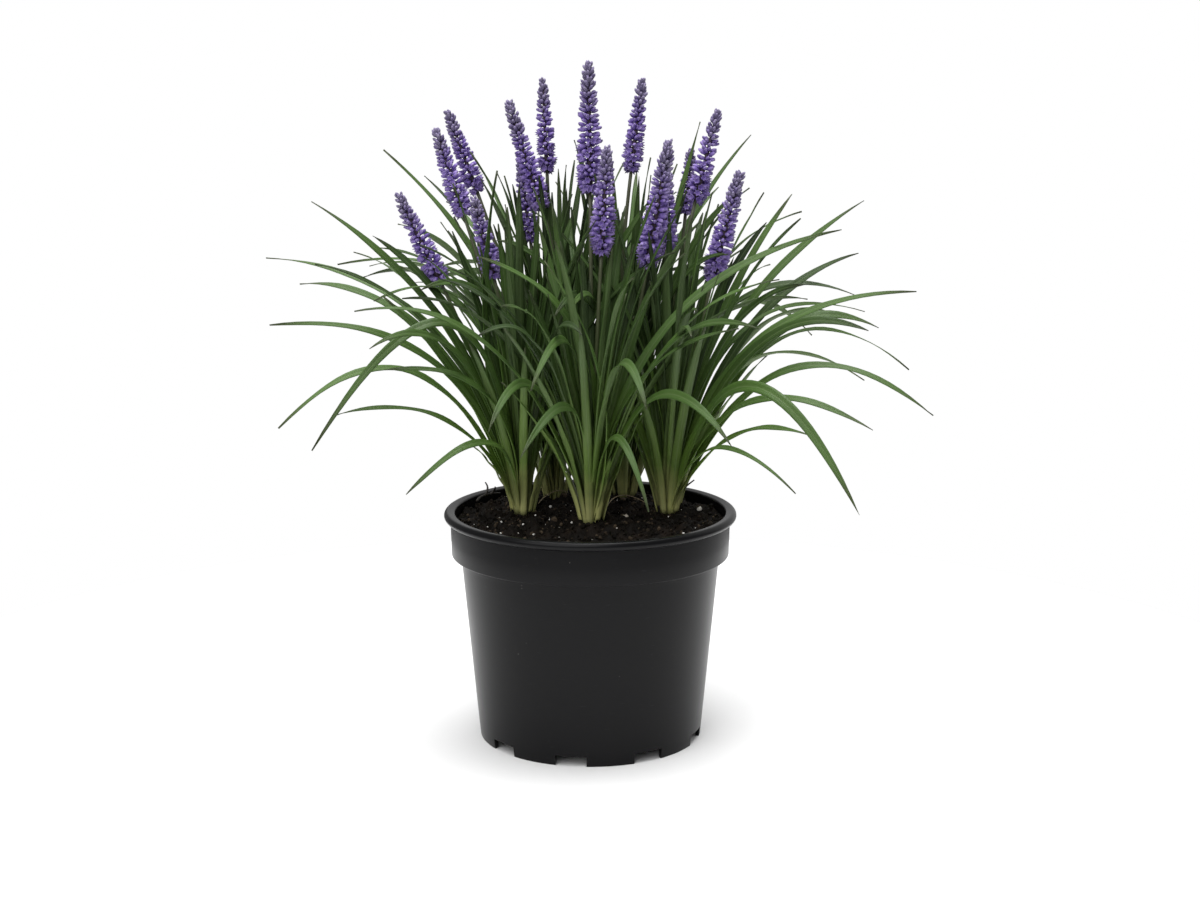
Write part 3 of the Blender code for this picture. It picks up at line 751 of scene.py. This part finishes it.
def leaf_face(name, base, low, middle, tip, rough, vein_share):
    finish = Finish(name, Specular_IOR_Level=0.32)
    uv = finish.node("UVMap", {"uv_map": "blade"})
    across = finish.node("SeparateXYZ", {}, {"Vector": uv}, "X")
    along = finish.node("SeparateXYZ", {}, {"Vector": uv}, "Y")
    cloud = finish.noise(60, 3)
    tint = finish.named("tint")
    rise = along * finish.named("reach") * (1 / GREEN_FROM) + (cloud - 0.5) * 0.12
    stops = [(0.0, base), (0.05, base), (0.25, low), (0.78, middle)]
    dusk = finish.step(along + (cloud - 0.5) * 0.1, 0.88, 1.0)
    green = finish.mix(dusk, finish.ramp(rise, stops), tip)
    # Painted shade: the deeper a leaf stands in its tuft, the more its green goes to near black.
    green = finish.mix(finish.named("depth"), green, (0.005, 0.016, 0.003))
    veins = (across * (VEINS * math.tau)).wave() * 0.5 + 0.5
    groove = 1 - finish.step((across - 0.5).size(), 0.02, 0.09)
    warm = finish.mix(tint * 0.35, green, (0.090, 0.125, 0.050), "OVERLAY")
    shaded = finish.mix(veins * vein_share, warm, (0.012, 0.022, 0.006))
    patchy = finish.mix(finish.step(cloud, 0.45, 0.75) * 0.18, shaded, (0.085, 0.135, 0.060))
    finish.paint("Base Color", finish.mix(groove * 0.30, patchy, (0.17, 0.23, 0.10)))
    finish.paint("Roughness", rough + veins * 0.08 + cloud * 0.08)
    finish.relief(veins * 0.5 + (1 - groove) * 0.5, 0.00022, 0.7)
    return finish


PALE_SHEATH = (0.62, 0.62, 0.25)
UPPER = [(0.178, 0.312, 0.045), (0.104, 0.198, 0.043), (0.082, 0.100, 0.040)]
LOWER = [(0.196, 0.310, 0.062), (0.138, 0.222, 0.072), (0.092, 0.112, 0.052)]
upper_face = leaf_face("leaf_upper_face", PALE_SHEATH, *UPPER, 0.34, 0.42)
lower_face = leaf_face("leaf_lower_face", PALE_SHEATH, *LOWER, 0.44, 0.34)


def stalk_skin_finish():
    finish = Finish("flower_stalk", Roughness=0.45)
    height = finish.node("SeparateXYZ", {}, {"Vector": finish.place()}, "Z")
    streaks = finish.noise(700, 3, finish.stretched((1, 1, 0.06)))
    rise = finish.step(height, 0.20, 0.40)
    olive = finish.mix(rise, (0.10, 0.145, 0.040), (0.125, 0.130, 0.080))
    finish.paint("Base Color", finish.mix(streaks * 0.5, olive, (0.060, 0.070, 0.038)))
    finish.relief(streaks, 0.00015, 0.6)
    return finish


stalk_finish = stalk_skin_finish()
print(upper_face.material.name, lower_face.material.name, stalk_finish.material.name)

# %% [markdown]
# ## Where the leaves grow
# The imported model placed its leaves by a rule: some shape the outline and were read from the photograph, and
# the others fill their tuft evenly. Each was then turned about its root until it stood clear of the rest.
# The same rule is repeated here, and the turn is found from the model itself, because the tip of every
# packed leaf is a corner of its tuft's mesh. So each fine leaf lies exactly on its plain one.

# %% Tufts and leaf sizes
CROWN_RADIUS = 8.8 * MM
CROWN_NECK = 1.5 * MM
TUFTS = {
    "front": Vector((1, -28, 0)) * MM,
    "left": Vector((-49, 2, 0)) * MM,
    "right": Vector((56, 4, 0)) * MM,
    "back_left": Vector((-26, 62, 0)) * MM,
    "back_right": Vector((25, 66, 0)) * MM,
}
LEAVES_PER_TUFT = 33
INNER_LEAVES = 20
SHEATHS = 9
LEAF_WIDTH = 7.4 * MM
ROOT_SPREAD = 6.2 * MM
ROOT_LEAN = math.radians(50)
TURN_STEP = math.radians(2.5)
TURN_TRIES = 41
EVEN_TURN = 0.56984
EVEN_LEAN = 0.754878
TUFT_TURN = 0.13
LEAN_DRAW = 0.04
OUTWARD_PULL = 0.4
NEAR_REACH = 40 * MM
FAR_REACH = 205 * MM
DEEP_REACH = 172 * MM
UPRIGHT_TIP = 222 * MM
UPRIGHT_BACK_TIP = 258 * MM
ARCHED_TIP = 118 * MM
BACK_FROM = 30 * MM
FILLING_WIDTHS = (0.6, 0.9, 1.0, 1.05, 1.1)
FILLING_ROLLS = (20, 60)

# Tuft, middle or crest, tip in millimetres, share of full width, roll of the upper face to the front.
LEAVES = [
    ("left", (-106, -5, 305), (-192, -15, 387), 1.00, 35),
    ("left", (-136, 20, 313), (-236, 50, 342), 0.80, 40),
    ("left", (-131, -30, 291), (-217, -55, 306), 0.85, 45),
    ("left", (-151, -75, 278), (-204, -110, 245), 0.85, 40),
    ("left", (-103, -55, 308), (-184, -100, 228), 0.95, 50),
    ("left", (-129, -65, 251), (-171, -85, 249), 0.75, 35),
    ("left", (-76, -60, 226), (-123, -90, 196), 0.80, 40),
    ("back_left", (-81, 65, 337), (-151, 70, 419), 0.90, 35),
    ("back_left", (-110, 60, 335), (-187, 70, 335), 0.60, 35),
    ("left", (-92, 10, 312), (-138, 20, 340), 0.90, 40),
    ("left", (-119, -10, 295), (-144, -15, 321), 0.90, 40),
    ("left", (-79, 5, 326), (-105, 10, 371), 0.90, 30),
    ("left", (-95, -55, 273), (-138, -75, 278), 0.80, 40),
    ("left", (-73, 0, 356), (-64, 5, 407), 0.95, 40),
    ("back_left", (-50, 55, 354), (-62, 50, 401), 0.90, 30),
    ("back_left", (-55, 60, 350), (-92, 60, 419), 1.00, 30),
    ("front", (-42, -60, 338), (-73, -75, 354), 1.10, 55),
    ("front", (-18, -85, 255), (-45, -135, 229), 1.00, 50),
    ("front", (-20, -85, 300), (-37, -140, 275), 0.95, 55),
    ("front", (-48, -85, 270), (-65, -130, 246), 1.00, 50),
    ("front", (7, -60, 269), (-30, -70, 351), 1.15, 50),
    ("front", (19, -75, 232), (39, -115, 190), 0.75, 50),
    ("right", (35, -10, 290), (11, -15, 336), 0.90, 30),
    ("back_left", (-33, 55, 288), (-50, 50, 439), 1.00, 30),
    ("back_left", (-22, 55, 310), (-23, 50, 406), 1.00, 30),
    ("back_right", (7, 50, 311), (-7, 40, 398), 0.95, 35),
    ("front", (-14, -15, 290), (-26, -10, 383), 1.00, 35),
    ("back_right", (18, 60, 310), (16, 60, 408), 0.95, 30),
    ("back_right", (36, 60, 310), (44, 60, 401), 1.00, 30),
    ("back_right", (53, 70, 331), (79, 75, 439), 0.95, 30),
    ("right", (131, 10, 335), (194, 20, 385), 0.95, 35),
    ("front", (76, -30, 325), (173, -25, 368), 0.90, 45),
    ("back_right", (80, 65, 364), (135, 65, 428), 0.90, 30),
    ("right", (107, 15, 329), (146, 25, 389), 0.90, 35),
    ("right", (133, -15, 301), (225, -30, 326), 0.90, 40),
    ("right", (150, 20, 311), (200, 30, 304), 0.50, 35),
    ("right", (173, 30, 292), (233, 40, 261), 0.50, 35),
    ("right", (137, -15, 280), (192, -25, 260), 0.85, -35),
    ("right", (163, -30, 275), (236, -50, 243), 0.90, 40),
    ("right", (126, -60, 257), (189, -90, 240), 0.85, 35),
    ("right", (111, -75, 267), (176, -130, 191), 1.15, 55),
    ("right", (125, -75, 239), (149, -100, 237), 0.75, 35),
    ("right", (98, -75, 224), (136, -110, 201), 0.50, 35),
    ("front", (55, -95, 265), (91, -150, 240), 1.05, 50),
    ("front", (54, -80, 292), (91, -110, 310), 1.00, 40),
    ("back_right", (73, 50, 318), (118, 50, 352), 0.85, 30),
    ("back_left", (-45, 125, 292), (-62, 170, 258), 0.95, -40),
    ("back_right", (52, 125, 275), (78, 170, 226), 0.95, -40),
]


# %% The arc of a leaf
class Leaf:
    """A leaf's line: a plain arc from its root, past a knee that it never reaches, to its tip."""

    def __init__(self, tuft, root, knee, tip, width, roll):
        self.tuft = tuft
        self.root = root
        self.knee = knee
        self.tip = tip
        self.width = width
        self.roll = roll

    def turned(self, angle):
        turn = Matrix.Rotation(angle, 3, "Z")
        knee = self.root + turn @ (self.knee - self.root)
        tip = self.root + turn @ (self.tip - self.root)
        return Leaf(self.tuft, self.root, knee, tip, self.width, self.roll)

    def spot(self, share):
        rest = 1 - share
        return self.root * rest**2 + self.knee * (2 * rest * share) + self.tip * share**2

    def heading(self, share):
        return ((self.knee - self.root) * (1 - share) + (self.tip - self.knee) * share).normalized()


def crown_root(tuft, towards):
    """A leaf's root inside the crown: the more it leans, the nearer the crown's side."""
    place = TUFTS[tuft]
    base = place + UP * (soil_height(place.x, place.y) + CROWN_NECK)
    way = towards - base
    lean = min(1.0, way.angle(UP) / ROOT_LEAN)
    return base + Vector((way.x, way.y, 0)).normalized() * ROOT_SPREAD * lean**0.8


def knee_through(root, middle, tip):
    """The arc's knee, for an arc that passes through its middle point at its share of the way."""
    first = (middle - root).length
    share = first / (first + (tip - middle).length)
    rest = 1 - share
    return (middle - root * rest**2 - tip * share**2) / (2 * rest * share)


# %% The rule that fills a tuft
def filling_leaf(tuft, index):
    """A leaf placed by rule: evenly round its tuft, from upright ones (lean 0) to arched ones (lean 1)."""
    number = 1000 * list(TUFTS).index(tuft) + index
    draw = random.Random(number)
    place = TUFTS[tuft]
    ground = place + UP * soil_height(place.x, place.y)
    angle = math.tau * (index * EVEN_TURN + TUFT_TURN * number)
    lean = (index * EVEN_LEAN + draw.uniform(-LEAN_DRAW, LEAN_DRAW)) % 1.0

    outward = Vector((place.x, place.y, 0)).normalized()
    across = Vector((math.cos(angle), math.sin(angle), 0)) + OUTWARD_PULL * outward
    reach = (NEAR_REACH + (FAR_REACH - NEAR_REACH) * lean**0.9) * (0.6 + 0.35 * across.length)
    across.normalize()
    upright = UPRIGHT_TIP if place.y < BACK_FROM else UPRIGHT_BACK_TIP
    height = upright + (ARCHED_TIP - upright) * lean**1.5 + draw.uniform(-18, 14) * MM

    tip = ground + across * reach + UP * height
    limit = math.hypot(tip.x / FAR_REACH, tip.y / DEEP_REACH)
    if limit > 1:
        tip = Vector((tip.x / limit, tip.y / limit, tip.z))
        reach = reach / limit
    knee = ground + across * reach * (0.2 + 0.18 * lean) + UP * upright * (0.62 + 0.18 * lean)
    width = draw.choice(FILLING_WIDTHS)
    roll = draw.uniform(*FILLING_ROLLS) * (1 if across.y < 0.2 else -1)
    return Leaf(tuft, crown_root(tuft, knee), knee, tip, width, roll)


def shaping_leaves():
    leaves = []
    for tuft, middle, tip, width, roll in LEAVES:
        middle = Vector(middle) * MM
        tip = Vector(tip) * MM
        root = crown_root(tuft, middle)
        leaves.append(Leaf(tuft, root, knee_through(root, middle, tip), tip, width, roll))
    return leaves


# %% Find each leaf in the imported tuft
TIP_MATCH = 0.05 * MM


def packed_leaf(leaf, corners):
    """The leaf turned as it stands in its packed tuft, or None where the tuft has no such tip."""
    for attempt in range(TURN_TRIES):
        side = 1 if attempt % 2 else -1
        trial = leaf.turned(side * TURN_STEP * ((attempt + 1) // 2))
        if corners.find(trial.tip)[2] < TIP_MATCH:
            return trial
    return None


def packed_leaves(tuft):
    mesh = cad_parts[f"leaf_tuft_{tuft}"].data
    corners = kdtree.KDTree(len(mesh.vertices))
    for number, corner in enumerate(mesh.vertices):
        corners.insert(corner.co, number)
    corners.balance()
    wanted = [leaf for leaf in shaping_leaves() if leaf.tuft == tuft]
    wanted += [filling_leaf(tuft, index) for index in range(LEAVES_PER_TUFT)]
    found = [packed_leaf(leaf, corners) for leaf in wanted]
    return [leaf for leaf in found if leaf]


leaves = {tuft: packed_leaves(tuft) for tuft in TUFTS}
print("leaves found", {tuft: len(found) for tuft, found in leaves.items()})

# %% [markdown]
# ## Leaves
# Each blade is the strip template moulded along its arc. Across it is a shallow gutter, folded more at the
# root and flatter further out. It is a little narrower where it leaves the crown, and tapers to a fine tip. A
# slight wave and twist, different for each, keeps it from looking machined. Upright inner leaves and short
# sheath leaves thicken each tuft. A Solidify modifier then gives every blade its thickness, and its second
# side takes the lower face's finish.

# %% Mould the blades
BLADE_THICKNESS = 0.5 * MM
ROOT_WIDTH = 0.80
ROOT_BELOW = 0.03
OPENING = 1.6
TAPER_LATE = 5.0
TAPER_CURVE = 0.80
EDGE_WAVE = 0.45 * MM
WAVE_COUNTS = (14, 24)
TWIST = 0.35
ROOT_FOLD = 0.50
FOLD_LOSS = 0.30
FOLD_CURVE = 1.4
ARC_SHARE = 0.9
TIP_HALF_WIDTH = 0.10 * MM


def half_width(leaf, above):
    opening = min(1.0, ROOT_WIDTH + OPENING * above)
    taper = max(0.0, 1 - above**TAPER_LATE) ** TAPER_CURVE
    return max(TIP_HALF_WIDTH, leaf.width * LEAF_WIDTH / 2 * opening * taper)


def blade_on(leaf, depth, draw):
    """The strip moulded on a leaf's arc. Depth, 0 to 1, sets how much painted shade darkens the leaf."""
    flat = Vector((leaf.tip.x - leaf.root.x, leaf.tip.y - leaf.root.y, 0)).normalized()
    sideways = UP.cross(flat)
    facing = -1 if leaf.tip.x > leaf.root.x else 1
    phase = draw.uniform(0, math.tau)
    waves = draw.uniform(*WAVE_COUNTS)
    twist = draw.uniform(-TWIST, TWIST)

    def place(point):
        share = point.y * (1 + ROOT_BELOW) - ROOT_BELOW
        above = max(0.0, share)
        along = leaf.heading(share)
        side = (sideways - along * sideways.dot(along)).normalized()
        upper = along.cross(side)
        roll = math.radians(leaf.roll) * facing * (1.3 - 0.5 * share) + twist * above**2
        edge = side * math.cos(roll) - upper * math.sin(roll)
        face = upper * math.cos(roll) + side * math.sin(roll)
        half = half_width(leaf, above)
        fold = half * (ROOT_FOLD - FOLD_LOSS * min(1.0, 2.5 * above)) * abs(point.x) ** FOLD_CURVE
        wave = EDGE_WAVE * math.sin(waves * share + phase + 1.2 * point.x) * min(1.0, 3 * above)
        return leaf.spot(share) - edge * point.x * half + face * (fold + wave)

    reach = ((leaf.knee - leaf.root).length + (leaf.tip - leaf.knee).length) * ARC_SHARE
    # The depth attribute carries the leaf's painted shade.
    return mould(blade, place, tint=draw.random(), reach=reach, depth=depth)


# %% Inner leaves and sheaths
KNEE_HEIGHT = 0.55
INNER_BACK_DROP = 14 * MM
INNER_HEIGHTS = (-50, 6)
INNER_WIDTHS = (0.9, 1.15)
FACING_ROLL = 70
ROLL_DRAW = 18
SHEATH_HEIGHTS = (45, 150)
SHEATH_LEANS = (0.30, 0.62)
SHEATH_KNEE_LEAN = 0.12
SHEATH_WIDTHS = (0.6, 0.9)
SHEATH_ROLL = 25
# Most painted shade, 0 to 1, for inner leaves of front and of back tufts, and for sheaths.
FRONT_SHADE = 0.7
BACK_SHADE = 0.97
SHEATH_SHADE = 0.2


def inner_leaf(tuft, index, draw):
    """A nearly upright leaf that thickens the middle of its tuft, its face rolled to the front."""
    place = TUFTS[tuft]
    angle = math.tau * index * EVEN_TURN + draw.uniform(-0.2, 0.2)
    across = Vector((math.cos(angle), math.sin(angle), 0))
    lean = (index + 0.5) / INNER_LEAVES
    upright = UPRIGHT_TIP if place.y < BACK_FROM else UPRIGHT_BACK_TIP - INNER_BACK_DROP
    height = upright + draw.uniform(*INNER_HEIGHTS) * MM - 20 * MM * lean
    tip = place + UP * (SOIL_EDGE + height) + across * (12 + 46 * lean) * MM
    knee = place + UP * (SOIL_EDGE + height * KNEE_HEIGHT) + across * (5 + 10 * lean) * MM
    roll = FACING_ROLL * abs(across.x) + draw.uniform(-ROLL_DRAW, ROLL_DRAW)
    return Leaf(tuft, crown_root(tuft, tip), knee, tip, draw.uniform(*INNER_WIDTHS), roll)


def sheath(tuft, index, draw):
    """A short pale outer leaf that stands close round the foot of its tuft."""
    angle = math.tau * (index + draw.uniform(-0.45, 0.45)) / SHEATHS
    across = Vector((math.cos(angle), math.sin(angle), 0))
    place = TUFTS[tuft]
    root = place + across * CROWN_RADIUS * draw.uniform(0.85, 1.15)
    root += UP * (soil_height(root.x, root.y) + CROWN_NECK)
    height = draw.uniform(*SHEATH_HEIGHTS) * MM
    tip = root + UP * height + across * height * draw.uniform(*SHEATH_LEANS)
    knee = root + UP * height * KNEE_HEIGHT + across * height * SHEATH_KNEE_LEAN
    width = draw.uniform(*SHEATH_WIDTHS)
    return Leaf(tuft, root, knee, tip, width, draw.uniform(-SHEATH_ROLL, SHEATH_ROLL))


def make_leaves(tuft):
    """Gathers a tuft's leaves. The first ones, read from the photograph, stand in front and get little painted
    shade.
    """
    draw = random.Random(f"leaves {tuft}")
    shade = FRONT_SHADE if TUFTS[tuft].y < BACK_FROM else BACK_SHADE
    # Each leaf is paired with its painted shade, from 0 to 1.
    grown = []
    for order, leaf in enumerate(leaves[tuft]):
        grown.append((leaf, draw.random() * order / LEAVES_PER_TUFT))
    for index in range(INNER_LEAVES):
        grown.append((inner_leaf(tuft, index, draw), shade * draw.random() ** 0.5))
    for index in range(SHEATHS):
        grown.append((sheath(tuft, index, draw), SHEATH_SHADE * draw.random()))
    bm = gather([blade_on(leaf, depth, draw) for leaf, depth in grown])
    piece = add_piece(f"leaves_{tuft}", bm, [upper_face, lower_face], f"leaf_tuft_{tuft}")
    thick = piece.modifiers.new("thickness", "SOLIDIFY")
    thick.thickness = BLADE_THICKNESS
    thick.offset = -1
    thick.material_offset = 1


for tuft in TUFTS:
    make_leaves(tuft)

# %% [markdown]
# ## Flower spikes: where they stand
# Each spike has a straight axis from its foot to its tip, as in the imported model, and its stalk rises from
# the crown to that foot in a gentle bend.

# %% Spikes and stalks
STALK_RADIUS = 1.5 * MM
HEAD_RADIUS = 8.8 * MM
# Tuft, foot of the spike, tip of the spike in millimetres, share of full girth.
SPIKES = [
    ("left", (-105, 0, 329), (-133, -4, 390), 1.00),
    ("left", (-90, 22, 376), (-109, 25, 434), 0.95),
    ("back_left", (-82, 46, 391), (-102, 48, 446), 0.90),
    ("left", (-68, 3, 333), (-81, 0, 387), 0.95),
    ("back_left", (-35, 40, 378), (-58, 42, 453), 1.00),
    ("back_left", (-44, 62, 354), (-51, 66, 412), 0.90),
    ("back_left", (-32, 76, 404), (-35, 81, 469), 0.85),
    ("front", (0, 6, 392), (-1, 8, 480), 1.10),
    ("front", (8, -26, 353), (12, -27, 423), 1.05),
    ("back_right", (30, 76, 404), (38, 81, 469), 0.90),
    ("front", (40, -15, 343), (54, -20, 427), 1.10),
    ("right", (55, 30, 348), (55, 32, 406), 0.90),
    ("right", (75, 26, 385), (90, 28, 447), 0.95),
    ("back_right", (70, 72, 373), (74, 76, 418), 0.85),
    ("right", (86, 0, 331), (104, -4, 405), 1.05),
]


def frame_along(axis):
    """Two directions square to an axis."""
    side = axis.cross(Vector((0, 1, 0))).normalized()
    return side, axis.cross(side)


class Spike:
    """A spike's straight axis from its foot to its tip, with two directions square to it."""

    def __init__(self, tuft, foot, tip, girth):
        self.tuft = tuft
        self.foot = Vector(foot) * MM
        self.tip = Vector(tip) * MM
        self.girth = girth
        self.length = (self.tip - self.foot).length
        self.axis = (self.tip - self.foot).normalized()
        self.side, self.other = frame_along(self.axis)


def stalk_on(spike):
    """A stalk from halfway between the crown's middle and side, which ends in line with its spike."""
    crown = TUFTS[spike.tuft]
    side_root = crown_root(spike.tuft, spike.foot)
    root = crown + (side_root - crown) * 0.5 + UP * side_root.z * 0.5
    knee = spike.foot - spike.axis * (spike.foot - root).length * 0.5
    line = Leaf(spike.tuft, root, knee, spike.foot, 1.0, 0.0)

    def place(point):
        side, other = frame_along(line.heading(point.z))
        radius = STALK_RADIUS * (1.05 - 0.2 * point.z)
        return line.spot(point.z) + (side * point.x + other * point.y) * radius

    return mould(tube, place)


def make_stalks():
    for tuft in TUFTS:
        stalks = [stalk_on(spike) for spike in spikes if spike.tuft == tuft]
        add_piece(f"stalks_{tuft}", gather(stalks), [stalk_finish])


spikes = [Spike(*row) for row in SPIKES]


make_stalks()

# %% [markdown]
# ## Flower finish
# The lower flowers are open and clear violet, lighter at their edges. Towards the tip they are closed buds,
# smaller, greyer and duskier. The axis between them is dark and purple brown. The mesh carries how far up
# the spike each flower is, how far along the flower each point is, and a random tint.

# %% Petals and axis
def petal_finish():
    finish = Finish("flower_petals", Roughness=0.65, Specular_IOR_Level=0.15)
    stage = finish.named("stage")
    out = finish.named("out")
    tint = finish.named("tint")
    grain = finish.noise(900, 2)
    open_colour = finish.mix(tint, (0.195, 0.125, 0.430), (0.360, 0.262, 0.630))
    bud_colour = finish.mix(tint, (0.142, 0.118, 0.220), (0.265, 0.232, 0.350))
    body = finish.mix(finish.step(stage + (tint - 0.5) * 0.12, 0.50, 0.88), open_colour, bud_colour)
    edged = finish.mix(finish.step(out, 0.78, 1.0) * 0.5, body, (0.36, 0.30, 0.50))
    throat = finish.mix(1 - finish.step(out, 0.12, 0.45), edged, (0.055, 0.032, 0.080))
    finish.paint("Base Color", finish.mix(finish.step(grain, 0.5, 0.8) * 0.25, throat, (0.24, 0.20, 0.38)))
    finish.relief(grain, 0.0002, 0.5)
    return finish


def axis_finish():
    finish = Finish("flower_axis", Roughness=0.55)
    streaks = finish.noise(500, 3)
    finish.paint("Base Color", finish.mix(streaks, (0.050, 0.028, 0.052), (0.105, 0.075, 0.080)))
    finish.relief(streaks, 0.0002, 0.6)
    return finish


petals = petal_finish()
rachis = axis_finish()
print(petals.material.name, rachis.material.name)

# %% [markdown]
# ## Florets
# A spike has about a hundred and fifty small flowers in staggered whorls. Three shapes are enough: a young
# bud, a full bud with its seams, and an open flower. Each is turned about its own axis from a short outline.
# For the seams and the open lobes, the points between two lobes are drawn in.

# %% Bud and flower shapes
def lobed(mesh, lobes, depth, from_height):
    """Draws points in between the lobes, more so towards the rim, and notes how far out each one is."""
    layer = mesh.attributes.new("out", "FLOAT", "POINT")
    for number, corner in enumerate(mesh.vertices):
        height = corner.co.z
        rise = max(0.0, height - from_height) / (1 - from_height)
        angle = math.atan2(corner.co.y, corner.co.x)
        pull = 1 - depth * rise * (0.5 - 0.5 * math.cos(lobes * angle))
        corner.co = Vector((corner.co.x * pull, corner.co.y * pull, height * (1 - 0.5 * (1 - pull))))
        layer.data[number].value = height
    return mesh


YOUNG_BUD = [(0, 0), (0.08, 0.02), (0.11, 0.28), (0.24, 0.55), (0.20, 0.84), (0, 1)]
FULL_BUD = [
    (0, 0), (0.06, 0.02), (0.07, 0.26), (0.16, 0.40), (0.21, 0.64), (0.19, 0.86), (0.09, 0.98), (0, 0.97),
]
OPEN_FLOWER = [
    (0, 0), (0.06, 0.02), (0.07, 0.28), (0.17, 0.42), (0.23, 0.68), (0.32, 1.0), (0.18, 0.78), (0, 0.58),
]
young_bud = lobed(turned_template("young_bud", YOUNG_BUD, 7), 3, 0.10, 0.3)
full_bud = lobed(turned_template("full_bud", FULL_BUD, 9), 3, 0.30, 0.3)
open_flower = lobed(turned_template("open_flower", OPEN_FLOWER, 12), 6, 0.42, 0.5)
print("faces", len(young_bud.polygons), len(full_bud.polygons), len(open_flower.polygons))

# %% [markdown]
# ## Spikes
# The flowers stand in whorls up the axis. Low ones are large, hang a little and are open. Going up they
# shrink, close and lift, until the last buds point nearly along the axis. The outer radius follows a formula
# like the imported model's, a little fuller at mid height, so the spike keeps its outline.

# %% Set the florets
WHORL_PITCH = 3.3 * MM
FLORETS_PER_WHORL = 7.4
AXIS_RADIUS = 1.9 * MM
BUD_RADIUS = 1.85 * MM
OPEN_SHARE = 0.80
OPEN_FADE = 1.5
YOUNG_FROM = 0.70
BUD_SHARE = 0.21
TURN_DRAW = 0.24
RISE_DRAW = 0.22
PLACE_DRAW = 0.9 * MM
LENGTH_DRAW = (0.96, 1.16)
CROWN_FROM = 0.93
AXIS_END = 0.96


def head_radius(share):
    """Outer radius as a share of the full girth, from the foot of the spike (0) to its tip (1)."""
    opening = min(1.0, 0.62 + 3 * share)
    return opening * (1 - 0.62 * share**1.7)


def floret_at(base, direction, length, spin, width, stage, draw):
    """A floret whose foot is on the axis, turned to its direction."""
    if draw.random() < OPEN_SHARE - OPEN_FADE * stage:
        template = open_flower
    else:
        template = full_bud if stage < YOUNG_FROM else young_bud
    turn = direction.to_track_quat("Z", "Y").to_matrix() @ Matrix.Rotation(spin, 3, "Z")
    size = Vector((length * width, length * width, length))

    def place(point):
        return base + turn @ Vector((point.x * size.x, point.y * size.y, point.z * size.z))

    return mould(template, place, stage=stage, tint=draw.random())


def whorl_of(spike, row, rows, draw):
    """One whorl's florets. Every second whorl is turned by half a place."""
    climb = (row + 0.3) / rows
    share = climb * (1.15 - 0.15 * climb)
    outer = HEAD_RADIUS * spike.girth * head_radius(share)
    lift = math.radians(-8 + 36 * share + 44 * share**4)
    count = round(FLORETS_PER_WHORL * spike.girth)
    florets = []
    for index in range(count):
        angle = math.tau * (index + 0.5 * (row % 2)) / count + draw.uniform(-TURN_DRAW, TURN_DRAW)
        around = spike.side * math.cos(angle) + spike.other * math.sin(angle)
        rise = lift + draw.uniform(-RISE_DRAW, RISE_DRAW)
        direction = around * math.cos(rise) + spike.axis * math.sin(rise)
        height = spike.length * share * 0.97 + draw.uniform(-PLACE_DRAW, PLACE_DRAW)
        long = outer / max(0.62, math.cos(rise)) * draw.uniform(*LENGTH_DRAW)
        width = BUD_RADIUS * (1.05 - 0.50 * share) / (BUD_SHARE * long)
        spin = draw.uniform(0, math.tau)
        florets.append(floret_at(spike.foot + spike.axis * height, direction, long, spin, width, share, draw))
    return florets


def make_spike(number, spike):
    draw = random.Random(500 + number)
    rows = round(spike.length / WHORL_PITCH)
    florets = [floret for row in range(rows) for floret in whorl_of(spike, row, rows, draw)]
    top = spike.foot + spike.axis * spike.length * CROWN_FROM
    crown = floret_at(top, spike.axis, spike.length * (1 - CROWN_FROM), 0.0, 1.2, 1.0, draw)
    name = f"spike_{number:02d}"
    add_piece(name, gather([*florets, crown]), [petals], f"flower_head_{number:02d}")
    return len(florets)


def axis_on(spike):
    """The bare axis of a spike, from the end of its stalk to just under its tip."""

    def place(point):
        radius = AXIS_RADIUS * spike.girth * (1.1 - 0.6 * point.z)
        across = spike.side * point.x + spike.other * point.y
        return spike.foot.lerp(spike.tip, point.z * AXIS_END) + across * radius

    return mould(fine_tube, place)


add_piece("spike_axes", gather([axis_on(spike) for spike in spikes]), [rachis])
counts = [make_spike(number, spike) for number, spike in enumerate(spikes, start=1)]
print("florets", sum(counts))

# %% [markdown]
# ## The end
# The dressed plant has to fit the imported model's box. The templates have done their work and go.

# %% Clear up and finish
for mesh in list(bpy.data.meshes):
    if mesh.users == 0:
        bpy.data.meshes.remove(mesh)
